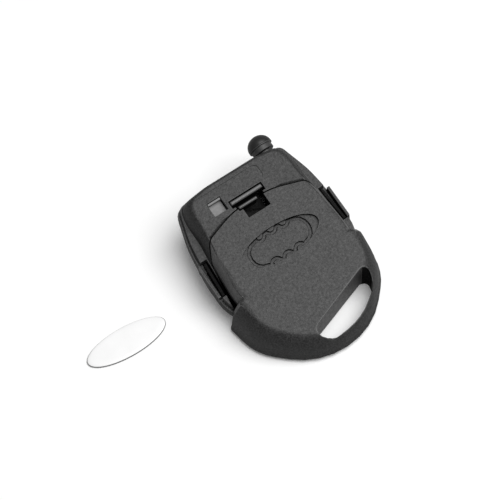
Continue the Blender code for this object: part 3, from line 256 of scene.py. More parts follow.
@dataclass(frozen=True)
class Metal(Finish):
    """Plated or rolled metal with fine scratches along one direction."""

    stretch: Triple = (1.0, 9.0, 9.0)
    scratch: float = 0.25 * MM
    scratch_depth: float = 0.004 * MM
    tarnish: float = 2.5 * MM

    def build(self) -> bpy.types.Material:
        """Returns the metal: scratches in its gloss and its normal, and a faint tarnish."""
        graph = Graph(self.name)
        lie = graph.add("ShaderNodeMapping", Vector=graph.place(), Scale=self.stretch).outputs[0]
        line = graph.add("ShaderNodeTexNoise", Vector=lie, Scale=1.0 / self.scratch,
                         Detail=3.0).outputs["Fac"]
        tarnish = graph.spread(graph.noise(self.tarnish, 4.0, 0.6), 0.35, 0.7, 0.0, 1.0)
        colour = graph.blend(tarnish, self.colour, self.tinted(0.82))
        gloss = graph.spread(line, 0.3, 0.7, self.roughness * 0.7, self.roughness * 1.4)
        return graph.coated(Base_Color=colour, Metallic=1.0, Roughness=gloss,
                            Normal=graph.bump(line, self.scratch_depth, 0.35))


@dataclass(frozen=True)
class Laminate(Finish):
    """Circuit board laminate: a lacquer over a woven core."""

    weave: float = 0.45 * MM
    weave_depth: float = 0.01 * MM

    def build(self) -> bpy.types.Material:
        """Returns the laminate with its weave under the lacquer."""
        graph = Graph(self.name)
        waves = [graph.add("ShaderNodeTexWave", {"bands_direction": way}, Vector=graph.place(),
                           Scale=0.31 / self.weave, Distortion=0.6, Detail=1.0).outputs["Fac"]
                 for way in "XY"]
        cross = graph.join("ShaderNodeMath", *waves, operation="MULTIPLY")
        light = tuple(min(1.0, share * 1.3 + 0.004) for share in self.colour)
        return graph.coated(Base_Color=graph.blend(cross, self.colour, light), Roughness=self.roughness,
                            Coat_Weight=0.4, Coat_Roughness=0.12,
                            Normal=graph.bump(cross, self.weave_depth, 0.2))


@dataclass(frozen=True)
class ClearCap(Finish):
    """Milky clear resin, pale on top; its thin rim is painted grey as shade."""

    # The painted shade of the rim.
    rim: Triple = (0.2, 0.2, 0.2)
    cloud: float = 4.0 * MM
    ripple: float = 0.8 * MM
    ripple_depth: float = 0.01 * MM

    def build(self) -> bpy.types.Material:
        """Returns the resin, with painted shade on the rim, picked out by how far a face turns from level."""
        graph = Graph(self.name)
        turn = graph.add("ShaderNodeSeparateXYZ", Vector=graph.add("ShaderNodeNewGeometry").outputs["Normal"])
        level = graph.spread(turn.outputs["Z"], 0.25, 0.85, 0.0, 1.0)
        cloud = graph.spread(graph.noise(self.cloud), 0.3, 0.7, 0.96, 1.0)
        share = graph.join("ShaderNodeMath", level, cloud, operation="MULTIPLY")
        return graph.coated(Base_Color=graph.blend(share, self.rim, self.colour), Roughness=self.roughness,
                            Coat_Weight=0.3, Coat_Roughness=0.05,
                            Normal=graph.bump(graph.noise(self.ripple), self.ripple_depth, 0.08))


class Palette:
    """Every finish of the shell."""

    CASE = Moulded("case_plastic", grey(39), 0.52)
    # Painted highlight: the cover's rounded edges are a little lighter than its faces.
    CASE_HIGHLIGHT_EDGE = Moulded("case_plastic_highlight_edge", grey(46), 0.4, mottle=0.12, relief=0.25)
    HEAD = Moulded("head_plastic", grey(40), 0.5)
    # Painted highlight: the head's rounded edges are a little lighter than its faces.
    HEAD_HIGHLIGHT_EDGE = Moulded("head_plastic_highlight_edge", grey(47), 0.4, mottle=0.12, relief=0.25)
    # Painted shade: a near-black tone for the latch's well and floor, the ring slot's curved walls and the
    # front cover's clips.
    PAINTED_SHADE = Moulded("painted_shade_plastic", grey(16), 0.75, specular=0.15)
    # Painted light: the head's upper side slopes are painted as light as the lit back.
    PAINTED_LIGHT_CHEEK = Moulded("head_cheek_painted_light", grey(84), 0.5, mottle=0.3)
    # Painted highlight: a light line along the slot's lip, the recess's rim and the front cover's rounded
    # edges.
    PAINTED_HIGHLIGHT_RIM = Moulded("rim_painted_highlight", grey(88), 0.38, mottle=0.12, relief=0.25)
    # Painted shade: black for the walls of the badge's recess and the glue groove's edge.
    PAINTED_SHADE_WALL = Moulded("step_wall_painted_shade", grey(8), 0.8, mottle=0.1, specular=0.05)
    # Painted light: a lighter, glossier tone on the ring slot's straight wall and low lip, where light falls.
    PAINTED_LIGHT_SLOT_WALL = Moulded("slot_wall_painted_light", grey(76), 0.38, mottle=0.16, relief=0.3)
    # Painted highlight: the latch is much lighter than the case, standing in for the highlights on its ribs.
    LATCH = Moulded("latch_painted_highlight_plastic", grey(90), 0.35, grain=0.3 * MM, relief=0.2, mottle=0.14)
    KNOB = Moulded("knob_plastic", grey(32), 0.42, grain=0.3 * MM, relief=0.22, mottle=0.1)
    COLLAR = Moulded("collar_plastic", grey(58), 0.45, grain=0.3 * MM, relief=0.3, mottle=0.12)
    RUBBER = Moulded("key_rubber", grey(44), 0.68, grain=0.2 * MM, relief=0.3, mottle=0.1,
                     specular=0.3)
    MARK = Moulded("key_mark", grey(150), 0.6, grain=0.2 * MM, relief=0.1, mottle=0.05, specular=0.3)
    CARRIER = Moulded("carrier_plastic", grey(120), 0.5, grain=0.5 * MM, relief=0.1, mottle=0.04)
    RESIN = Moulded("chip_resin", grey(34), 0.5, grain=0.14 * MM, relief=0.3, mottle=0.12)
    GLASS_RESIN = Moulded("transponder_resin", grey(30), 0.3, grain=0.5 * MM, relief=0.1, mottle=0.1)
    GASKET = Moulded("gasket_polymer", grey(26), 0.55, grain=0.2 * MM, relief=0.1, mottle=0.1)
    BRIGHT = Metal("bright_steel", (0.66, 0.66, 0.67), 0.28)
    SPRING = Metal("spring_nickel", (0.62, 0.58, 0.5), 0.3)
    SOLDER = Metal("solder_tin", (0.7, 0.7, 0.71), 0.35)
    GOLD = Metal("pad_gold", (0.83, 0.62, 0.3), 0.3)
    BOARD = Laminate("board_laminate", (0.012, 0.075, 0.035), 0.42)
    TRACK = Laminate("board_tracks", (0.05, 0.26, 0.11), 0.38)
    BADGE = ClearCap("badge_resin", grey(252), 0.3)
    # Painted shade: the badge's rim, greyer than its top.
    BADGE_PAINTED_SHADE_RIM = ClearCap("badge_rim_painted_shade", grey(150), 0.35, grey(96))


def linked(name: str, data: bpy.types.ID) -> bpy.types.Object:
    """Returns a new object of the scene that shows data."""
    item = bpy.data.objects.new(name, data)
    bpy.context.scene.collection.objects.link(item)
    return item


class Group:
    """A group of pieces: build makes them, and keep finishes each one."""

    def build(self) -> None:
        """Makes the pieces."""
        raise NotImplementedError

    def keep(self, name: str, mesh: BMesh, finishes: Sequence[Finish], replaces: Sequence[str] = (),
             body: Body = Body.TRANSMITTER, smooth: float = 32.0) -> None:
        """Turns a mesh into a finished piece.

        Args:
            name: the piece's name.
            mesh: its shape, in the shell's own frame; it is freed.
            finishes: its finishes, in the order of its faces' material numbers.
            replaces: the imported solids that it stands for.
            body: the body that it rides on.
            smooth: edges that turn less than this many degrees are shaded round.
        """
        limit = math.radians(smooth)
        for face in mesh.faces:
            face.smooth = True
        for edge in mesh.edges:
            edge.smooth = len(edge.link_faces) == 2 and edge.calc_face_angle(math.pi) < limit
        data = bpy.data.meshes.new(name)
        mesh.to_mesh(data)
        mesh.free()
        for finish in finishes:
            data.materials.append(finish.material)
        piece = linked(name, data)
        even = piece.modifiers.new("even_shading", "WEIGHTED_NORMAL")
        even.keep_sharp, even.weight, even.thresh = True, 90, 0.02
        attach(piece, body.value)
        if replaces:
            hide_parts(*replaces)
        LOG.info("%s: %d faces on %s", name, len(data.polygons), body.value)


def everywhere(place: object) -> bool:
    """Takes every edge or point."""
    return True


def middle(edge: BMEdge) -> Vector:
    """Returns the middle of an edge."""
    return (edge.verts[0].co + edge.verts[1].co) / 2


def upright(edge: BMEdge) -> bool:
    """Says whether an edge runs straight up."""
    return abs(edge.verts[0].co.z - edge.verts[1].co.z) > 0.9 * edge.calc_length()


def within(value: float, limits: Pair) -> bool:
    """Says whether a value is between two limits."""
    return limits[0] < value < limits[1]


def sunk(point: Vector) -> float:
    """Returns how far a point lies below the climbing back plane."""
    return BACK_HEIGHT + BACK_CLIMB * point.y - point.z


def welded(node: str) -> BMesh:
    """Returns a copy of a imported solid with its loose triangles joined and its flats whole."""
    mesh = bmesh.new()
    mesh.from_mesh(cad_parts[node].data)
    bmesh.ops.remove_doubles(mesh, verts=mesh.verts, dist=WELD)
    bmesh.ops.dissolve_limit(mesh, angle_limit=math.radians(0.8), verts=mesh.verts, edges=mesh.edges)
    return mesh


def rounded(mesh: BMesh, width: float, sharper: float = 34.0, segments: int = 2,
            where: Callable[[BMEdge], bool] = everywhere, number: int = 0) -> BMesh:
    """Rounds the sharp edges of a mesh and returns it.

    Args:
        mesh: the shape.
        width: how wide the rounding is.
        sharper: only edges that turn more than this many degrees are rounded.
        segments: the faces across a rounding.
        where: which of these edges take it.
        number: the material number of the new faces.
    """
    limit = math.radians(sharper)
    edges = [e for e in mesh.edges if len(e.link_faces) == 2 and e.calc_face_angle(0.0) > limit and where(e)]
    made = bmesh.ops.bevel(mesh, geom=edges, offset=width, offset_type="OFFSET", affect="EDGES",
                           segments=segments, profile=0.5, material=-1, clamp_overlap=False)
    for face in made["faces"]:
        face.material_index = number
    return mesh


def painted(mesh: BMesh, where: Callable[[Vector], bool], number: int = 1) -> BMesh:
    """Gives the faces whose middle passes a test a material number, and returns the mesh."""
    for face in mesh.faces:
        if where(face.calc_center_median()):
            face.material_index = number
    return mesh


def foot(low: Point, high: Point) -> Matrix:
    """Returns the place of the middle of a box's underside."""
    return Matrix.Translation(((low[0] + high[0]) / 2, (low[1] + high[1]) / 2, low[2]))


def slab(low: Point, high: Point) -> BMesh:
    """Returns a block between two corners."""
    size = Vector(high) - Vector(low)
    mesh = bmesh.new()
    bmesh.ops.create_cube(mesh, size=1.0, matrix=Matrix.Translation((Vector(low) + Vector(high)) / 2)
                          @ Matrix.Diagonal((*size, 1.0)))
    return mesh


def spun(profile: Profile, place: Matrix = Matrix.Identity(4), steps: int = 64) -> BMesh:
    """Spins a profile about its axis and returns the closed shape.

    Args:
        profile: (radius, station) points from one end of the profile to the other.
        place: where the axis is taken to.
        steps: the faces round the axis.
    """
    mesh = bmesh.new()
    line = [mesh.verts.new((radius, 0.0, station)) for radius, station in profile]
    edges = [mesh.edges.new(pair) for pair in zip(line, line[1:])]
    bmesh.ops.spin(mesh, geom=line + edges, cent=(0.0, 0.0, 0.0), axis=(0.0, 0.0, 1.0), dvec=(0.0, 0.0, 0.0),
                   angle=math.tau, steps=steps, use_merge=True, use_duplicate=False)
    bmesh.ops.remove_doubles(mesh, verts=mesh.verts, dist=WELD)
    bmesh.ops.recalc_face_normals(mesh, faces=mesh.faces)
    mesh.transform(place)
    return mesh


def scaled(line: Profile) -> list[Pair]:
    """Returns points given in millimetres in metres."""
    return [(x * MM, y * MM) for x, y in line]


def joined(*parts: BMesh) -> BMesh:
    """Returns the first mesh with the others added to it; they are freed."""
    for part in parts[1:]:
        passing = bpy.data.meshes.new("passing")
        part.to_mesh(passing)
        part.free()
        parts[0].from_mesh(passing)
        bpy.data.meshes.remove(passing)
    return parts[0]


def strip(start: Point, steps: Iterable[Point], width: float, thickness: float,
          turn: float = 0.0) -> BMesh:
    """Draws out a flat metal leg and returns it.

    Args:
        start: the middle of its first end.
        steps: the way from each bend to the next.
        width: its width.
        thickness: its thickness.
        turn: how far its first end is turned about Z, from a run along Y.
    """
    mesh = bmesh.new()
    upended = Matrix.Rotation(math.radians(90.0), 4, "X") @ Matrix.Diagonal((width, thickness, 1.0, 1.0))
    place = Matrix.Translation(start) @ Matrix.Rotation(turn, 4, "Z") @ upended
    bmesh.ops.create_grid(mesh, x_segments=1, y_segments=1, size=0.5, matrix=place)
    end = mesh.faces[:]
    for step in steps:
        made = bmesh.ops.extrude_face_region(mesh, geom=end)["geom"]
        bmesh.ops.translate(mesh, verts=[g for g in made if isinstance(g, BMVert)], vec=step)
        end = [g for g in made if isinstance(g, BMFace)]
    bmesh.ops.recalc_face_normals(mesh, faces=mesh.faces)
    return mesh


def drawn(mesh: BMesh, edges: Sequence[BMEdge], way: Point) -> list[BMEdge]:
    """Extrudes edges along a way and returns the new edges."""
    made = bmesh.ops.extrude_edge_only(mesh, edges=edges)["geom"]
    fresh = {item for item in made if isinstance(item, BMVert)}
    bmesh.ops.translate(mesh, verts=list(fresh), vec=way)
    return [edge for edge in mesh.edges if fresh.issuperset(edge.verts)]


def track(path: Profile, height: float, width: float, thickness: float) -> BMesh:
    """Draws a printed track along a path.

    Args:
        path: its plan points.
        height: the height of the board's face.
        width: its width.
        thickness: how far it stands up, or down where negative.

    Returns:
        The track: an edge drawn from bend to bend, and given its thickness.
    """
    mesh = bmesh.new()
    spots = [Vector((x, y, height)) for x, y in path]
    ways = [(after - before).normalized() for before, after in zip(spots, spots[1:])]
    edge, side = None, Vector()
    for spot, before, after in zip(spots, ways[:1] + ways, ways + ways[-1:]):
        way = (before + after).normalized()
        last, side = side, Vector((-way.y, way.x, 0.0)) * (width / 2 / way.dot(before))
        if edge is None:
            edge = mesh.edges.new((mesh.verts.new(spot - side), mesh.verts.new(spot + side)))
            origin = spot
            continue
        edge = drawn(mesh, [edge], spot - origin)[0]
        for corner in edge.verts:
            corner.co = spot + side * math.copysign(1.0, (corner.co - spot).dot(last))
        origin = spot
    bmesh.ops.recalc_face_normals(mesh, faces=mesh.faces)
    bmesh.ops.solidify(mesh, geom=mesh.faces[:], thickness=thickness)
    bmesh.ops.recalc_face_normals(mesh, faces=mesh.faces)
    return mesh


@dataclass(frozen=True)
class Region:
    """A box in plan, the same on both sides of the shell's length, with depths below the back."""

    side: Pair
    along: Pair
    depth: Pair

    def holds(self, point: Vector) -> bool:
        """Says whether a point is in the region."""
        return (within(abs(point.x), self.side) and within(point.y, self.along)
                and within(sunk(point), self.depth))


@dataclass
class Mouldings(Group):
    """The key head and the two covers of the remote: skins over their solids."""

    edge: float = 0.14 * MM
    fine_edge: float = 0.05 * MM
    groove_edge: float = 0.12 * MM
    crest: float = 0.7 * MM
    lip: float = 0.26 * MM
    low_lip: float = 0.8 * MM
    low_lip_top: float = 1.0 * MM
    thin_wall: float = 0.3 * MM
    near: float = 0.1 * MM
    hair: float = 0.05 * MM
    recess_half: Pair = (12.3 * MM, 4.8 * MM)
    recess_z: Pair = (-1.6 * MM, 0.1 * MM)
    floor_drop: float = 0.8 * MM
    # The latch's well, whose deep faces are painted dark as shade.
    well: Region = Region((-1.0 * MM, 5.8 * MM), (9.4 * MM, 17.2 * MM), (0.5 * MM, 6.0 * MM))
    # The head's side slopes, whose upward faces are painted light.
    cheek: Region = Region((14.0 * MM, 1.0), (-9.4 * MM, 21.0 * MM), (-1.0, 4.0 * MM))
    # The front cover's clips and inner guard walls, painted dark as shade.
    clip: Region = Region((18.6 * MM, 20.75 * MM), (-3.2 * MM, 8.6 * MM), (-1.0, 6.7 * MM))
    well_sill: float = 3.0 * MM
    ledge_depth: Pair = (3.9 * MM, 4.9 * MM)
    latch_side: float = 7.0 * MM
    ring_y: float = -9.2 * MM
    slot_radius: float = 18.9 * MM
    chord_place: Pair = (-7.2 * MM, -24.1 * MM)
    chord_angle: float = math.radians(18.3)
    chord_run: Pair = (-2.5 * MM, 26.9 * MM)

    def chord_out(self) -> Vector:
        """Returns the way that the slot's straight wall faces."""
        return Vector((math.sin(self.chord_angle), -math.cos(self.chord_angle), 0.0))

    def in_slot(self, point: Vector, room: float) -> bool:
        """Says whether a point stands within room of the key-ring slot's outline, or inside it."""
        reach = math.hypot(point.x, point.y - self.ring_y)
        offset = Vector((point.x - self.chord_place[0], point.y - self.chord_place[1], 0.0))
        run = offset.dot(Vector((math.cos(self.chord_angle), math.sin(self.chord_angle), 0.0)))
        return (reach < self.slot_radius + room and offset.dot(self.chord_out()) > -room
                and within(run, self.chord_run))

    def on_slot_lip(self, edge: BMEdge) -> bool:
        """Says whether an edge runs round the top of the key-ring slot."""
        wall, top = sorted(face.normal.z for face in edge.link_faces)
        return self.in_slot(middle(edge), self.near) and top > 0.3 > abs(wall)

    def on_low_lip(self, edge: BMEdge) -> bool:
        """Says whether an edge runs along the foot of the slot's straight wall."""
        wall = any(face.normal.dot(self.chord_out()) > 0.9 for face in edge.link_faces)
        low = max(corner.co.z for corner in edge.verts) < self.low_lip_top
        return wall and low and self.in_slot(middle(edge), self.near)

    def in_recess(self, point: Vector) -> bool:
        """Says whether a point is in the badge's recess or its glue groove."""
        spot = BACK_FROM @ point
        return (math.hypot(spot.x / self.recess_half[0], spot.y / self.recess_half[1]) < 1.0
                and within(spot.z, self.recess_z))

    def on_recess_rim(self, edge: BMEdge) -> bool:
        """Says whether an edge runs round the top of the badge's recess."""
        return self.in_recess(middle(edge)) and (BACK_FROM @ middle(edge)).z > -self.near

    def on_groove_edge(self, edge: BMEdge) -> bool:
        """Says whether an edge runs along the top of the glue groove."""
        level = all(abs((BACK_FROM @ corner.co).z + self.floor_drop) < 0.03 * MM for corner in edge.verts)
        lowest = min((BACK_FROM @ face.calc_center_median()).z for face in edge.link_faces)
        return level and lowest < -self.floor_drop - self.hair and self.in_recess(middle(edge))

    def on_crest(self, edge: BMEdge) -> bool:
        """Says whether an edge parts the flat back from one of its side slopes."""
        spot = middle(edge)
        slope, top = sorted(face.normal.dot(UPRIGHT) for face in edge.link_faces)
        level = all(abs(sunk(corner.co)) < self.hair for corner in edge.verts)
        clear = abs(spot.x) > self.latch_side or spot.y < self.well.along[0]
        return level and clear and top > 0.98 and 0.2 < slope < 0.93 and not self.in_slot(spot, 1.0 * MM)

    def is_thin(self, face: BMFace) -> bool:
        """Says whether a face is a wall too low for a rounded edge."""
        depths = [sunk(corner.co) for corner in face.verts]
        return abs(face.normal.z) < 0.5 and max(depths) - min(depths) < self.thin_wall

    def takes_edge(self, edge: BMEdge) -> bool:
        """Says whether an edge takes the plain rounding."""
        spot = middle(edge)
        deep = self.well.holds(spot) and sunk(spot) > self.well_sill
        return not (deep or self.in_recess(spot) or any(self.is_thin(face) for face in edge.link_faces))

    def part_well(self, mesh: BMesh) -> None:
        """Cuts the broad level faces of a mesh along the sides of the latch's well."""
        reach, (start, end) = self.well.side[1], self.well.along
        for sides in ((-reach, start), (reach, end)):
            for side, way in zip(sides, ((1.0, 0.0, 0.0), (0.0, 1.0, 0.0))):
                broad = [face for face in mesh.faces if face.normal.z > 0.9
                         and within(sunk(face.calc_center_median()), self.ledge_depth)]
                geom = dict.fromkeys(item for face in broad for item in (face, *face.edges, *face.verts))
                bmesh.ops.bisect_plane(mesh, geom=list(geom), dist=0.0, plane_co=Vector(way) * side,
                                       plane_no=way)

    def skin(self, node: str, finishes: Sequence[Finish], body: Body, mesh: BMesh) -> None:
        """Rounds a moulding's edges, paints its well dark as shade and keeps it."""
        # The rounded edges take the edge finish, a painted highlight.
        rounded(mesh, self.edge, where=self.takes_edge, number=Zone.HIGHLIGHT_EDGE)
        self.part_well(mesh)
        self.keep(f"{node}_skin", painted(mesh, self.well.holds, Zone.PAINTED_SHADE), finishes, (node,), body)

    def crested(self, node: str) -> BMesh:
        """Returns a moulding with the crests of its side slopes rounded."""
        return rounded(welded(node), self.crest, sharper=20.0, segments=4, where=self.on_crest)

    def head(self) -> BMesh:
        """Returns the head with its slot's lip rounded; its recess walls and the slot's curved walls are
        painted shade, and its straight slot wall, its lips, the recess's rim and its upper cheeks are painted
        light.
        """
        mesh = self.crested("key_head")
        # The slot's lip is rounded in painted highlight.
        rounded(mesh, self.lip, segments=3, where=self.on_slot_lip, number=Zone.PAINTED_HIGHLIGHT_RIM)
        # The slot's low lip is rounded in painted light.
        rounded(mesh, self.low_lip, segments=4, where=self.on_low_lip, number=Zone.PAINTED_LIGHT_SLOT_WALL)
        # The recess's rim is rounded in painted highlight.
        rounded(mesh, self.fine_edge, where=self.on_recess_rim, number=Zone.PAINTED_HIGHLIGHT_RIM)
        # The glue groove's top edge is rounded in painted shade.
        rounded(mesh, self.groove_edge, where=self.on_groove_edge, number=Zone.PAINTED_SHADE_WALL)
        for face in mesh.faces:
            place, wall = face.calc_center_median(), abs(face.normal.z) < 0.5
            # The recess walls are painted black as shade.
            if self.in_recess(place) and abs(face.normal.dot(UPRIGHT)) < 0.7:
                face.material_index = Zone.PAINTED_SHADE_WALL
            elif wall and self.in_slot(place, self.hair) and face.material_index != Zone.PAINTED_HIGHLIGHT_RIM:
                # The slot's straight wall is painted light and its curved walls are painted dark as shade.
                straight = face.normal.dot(self.chord_out()) > 0.9
                face.material_index = Zone.PAINTED_LIGHT_SLOT_WALL if straight else Zone.PAINTED_SHADE
            # The upper cheek faces are painted light.
            elif self.cheek.holds(place) and 0.28 < face.normal.z < 0.9:
                face.material_index = Zone.PAINTED_LIGHT_CHEEK
        return mesh

    def build(self) -> None:
        """Makes the three skins; the front cover's clips and inner guard walls are painted dark as shade."""
        head = (Palette.HEAD, Palette.HEAD_HIGHLIGHT_EDGE, Palette.PAINTED_SHADE, Palette.PAINTED_SHADE_WALL, Palette.PAINTED_LIGHT_SLOT_WALL,
                Palette.PAINTED_LIGHT_CHEEK, Palette.PAINTED_HIGHLIGHT_RIM)
        case = (Palette.CASE, Palette.CASE_HIGHLIGHT_EDGE, Palette.PAINTED_SHADE)
        self.skin("key_head", head, Body.HEAD, self.head())
        self.skin("rear_cover", case, Body.TRANSMITTER, self.crested("rear_cover"))
        # The front cover's rounded edges take the painted highlight.
        front = rounded(welded("front_cover"), self.edge, number=Zone.HIGHLIGHT_EDGE)
        self.keep("front_cover_skin", painted(front, self.clip.holds, Zone.PAINTED_SHADE),
                  (Palette.CASE, Palette.PAINTED_HIGHLIGHT_RIM, Palette.PAINTED_SHADE), ("front_cover",), Body.FRONT)


@dataclass
class Latch(Group):
    """The latch: a sunk tongue whose deep floor is painted dark as shade, with two rounded ribs; its light
    tone is a painted highlight.
    """

    rib_round: float = 0.36 * MM
    edge: float = 0.1 * MM
    rib_depth: float = 0.7 * MM
    floor_depth: float = 2.2 * MM

    def on_rib(self, edge: BMEdge) -> bool:
        """Says whether an edge runs round the top of a rib."""
        return all(sunk(corner.co) < self.rib_depth for corner in edge.verts)

    def build(self) -> None:
        """Makes the latch."""
        mesh = rounded(welded("latch_tongue"), self.rib_round, segments=5, where=self.on_rib)
        # The tongue's deep floor is painted dark as shade.
        painted(rounded(mesh, self.edge), lambda spot: sunk(spot) > self.floor_depth)
        self.keep("latch_tongue_skin", mesh, (Palette.LATCH, Palette.PAINTED_SHADE), ("latch_tongue",),
                  Body.LATCH)


@dataclass
class BladeEnd(Group):
    """The collar in the parting plane and the round plug that closes it, in millimetres."""

    dome_radius: float = 3.55
    dome_centre: float = 26.35
    dome_rise: float = 3.15
    dome_steps: int = 14
    groove: float = 26.206
    shank: Profile = ((3.55, 26.26), (3.46, 26.206), (3.55, 26.134), (3.55, 25.85), (3.15, 25.85),
                      (3.15, 24.4), (1.2, 24.4), (1.2, 19.4), (0.0, 19.4))
    tube: Profile = ((1.5, 24.1), (2.3, 24.1), (2.3, 19.6), (3.0, 19.6), (3.0, 18.4), (1.5, 18.4),
                     (1.5, 24.1))

    def plug(self) -> BMesh:
        """Returns the plug: a dome over a fine groove, a lip, a neck and a stem."""
        turns = [math.pi / 2 * (1 - step / self.dome_steps) for step in range(self.dome_steps + 1)]
        dome = [(self.dome_radius * math.cos(turn), self.dome_centre + self.dome_rise * math.sin(turn))
                for turn in turns]
        mesh = spun(scaled((*dome, *self.shank)), BLADE, 96)
        rounded(mesh, 0.09 * MM, sharper=60.0, segments=3)
        axis = BLADE.inverted()
        return painted(mesh, lambda spot: (axis @ spot).z < self.groove * MM)

    def build(self) -> None:
        """Makes both pieces."""
        tube = rounded(spun(scaled(self.tube), BLADE), 0.12 * MM, segments=3)
        self.keep("blade_plug_turned", self.plug(), (Palette.KNOB, Palette.COLLAR), ("blade_plug",),
                  Body.PLUG)
        self.keep("blade_collar_turned", tube, (Palette.COLLAR,), ("blade_collar",))


@dataclass
class Badge(Group):
    """The blank oval badge that lies beside the shell."""

    half_length: float = 11.9 * MM
    half_height: float = 4.4 * MM
    thickness: float = 0.7 * MM
    turn: float = math.radians(-3.0)
    rim_share: float = 0.98
    crown: Profile = ((0.0, 1.0), (0.4, 1.0), (0.75, 0.985), (0.9, 0.95), (0.955, 0.88), (0.985, 0.75),
                      (1.0, 0.55), (1.0, 0.1), (0.985, 0.0), (0.0, 0.0))

    def build(self) -> None:
        """Makes the badge, a crowned oval with a rolled rim."""
        low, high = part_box("badge_insert")
        place = (foot(low, high) @ Matrix.Rotation(self.turn, 4, "Z")
                 @ Matrix.Diagonal((self.half_length, self.half_height, 1.0, 1.0)))
        mesh = spun([(radius, height * self.thickness) for radius, height in self.crown], place, 128)
        centre = place.inverted()
        # The rim's faces take the painted shade.
        painted(mesh, lambda spot: (centre @ spot).xy.length > self.rim_share)
        self.keep("badge_insert_lens", mesh, (Palette.BADGE, Palette.BADGE_PAINTED_SHADE_RIM), ("badge_insert",),
                  Body.HEAD, smooth=50.0)


@dataclass
class Keypad(Group):
    """The three keys, the rubber pad round them and the plungers that they press."""

    crown: float = 0.42 * MM
    edge: float = 0.1 * MM
    dish: Profile = ((0.45, 0.0), (0.6, 0.1), (0.6, 0.05))
    mark_width: float = 0.5 * MM
    mark_reach: float = 1.0 * MM
    mark_stand: float = 0.11 * MM
    stem_radius: float = 0.75 * MM
    stem_reach: float = 0.7 * MM
    keys: tuple[tuple[str, Mark], ...] = (("lock", Mark.DOT), ("unlock", Mark.RING), ("boot", Mark.BAR))

    def mark(self, kind: Mark, place: Vector) -> BMesh:
        """Returns the raised mark of a key, which stands down from a place on its face."""
        half, reach, stand = self.mark_width / 2, self.mark_reach, self.mark_stand
        down = Matrix.Translation(place) @ Matrix.Rotation(math.pi, 4, "X")
        if kind is Mark.DOT:
            return spun(((0.0, stand), (half, stand * 0.9), (half * 1.5, stand * 0.5), (half * 1.7, -stand),
                         (0.0, -stand)), down, 32)
        if kind is Mark.RING:
            return spun(((reach - half, -stand), (reach - half * 0.7, stand * 0.7), (reach, stand),
                         (reach + half * 0.7, stand * 0.7), (reach + half, -stand),
                         (reach - half, -stand)), down, 48)
        size = Vector((reach, half, stand))
        return rounded(slab(place - size, place + size), stand * 0.8, segments=3)

    def face(self, mesh: BMesh, low: Vector, high: Vector) -> BMFace:
        """Returns the middle face of a key's touched side."""
        centre = (low + high).xy / 2
        level = [face for face in mesh.faces if face.normal.z < -0.99
                 and face.calc_center_median().z < low.z + self.crown * 1.5
                 and (face.calc_center_median().xy - centre).length < self.mark_width]
        return max(level, key=lambda face: face.calc_center_median().z)

    def key(self, word: str, kind: Mark) -> None:
        """Makes one key, with a crowned edge, a shallow dish and a raised mark."""
        node = f"button_{word}"
        low, high = (Vector(corner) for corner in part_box(node))
        mesh = rounded(welded(node), self.crown, segments=5,
                       where=lambda edge: max(c.co.z for c in edge.verts) < low.z + 0.05 * MM)
        rounded(mesh, self.edge)
        for width, depth in scaled(self.dish):
            bmesh.ops.inset_region(mesh, faces=[self.face(mesh, low, high)], thickness=width, depth=-depth)
        mark = self.mark(kind, self.face(mesh, low, high).calc_center_median())
        self.keep(f"{node}_cap", joined(mesh, painted(mark, everywhere)), (Palette.RUBBER, Palette.MARK),
                  (node,), Body(f"{word}_button"))

    def plunger(self, word: str) -> None:
        """Makes one plunger, with a stem that goes up into its switch."""
        node = f"plunger_{word}"
        low, high = (Vector(corner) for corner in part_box(node))
        radius, height = (high.x - low.x) / 2, high.z - low.z
        line = ((0.0, 0.0), (radius * 0.75, 0.0), (radius * 0.95, height * 0.2), (radius, height * 0.5),
                (radius, height), (self.stem_radius, height), (self.stem_radius, height + self.stem_reach),
                (0.0, height + self.stem_reach))
        self.keep(f"{node}_turned", spun(line, foot(low, high), 40), (Palette.RESIN,), (node,),
                  Body(f"{word}_plunger"))

    def build(self) -> None:
        """Makes the pad, the keys and the plungers."""
        self.keep("button_pad_skin", rounded(welded("button_pad"), 0.16 * MM, segments=3),
                  (Palette.RUBBER,), ("button_pad",), Body.FRONT)
        for word, kind in self.keys:
            self.key(word, kind)
            self.plunger(word)


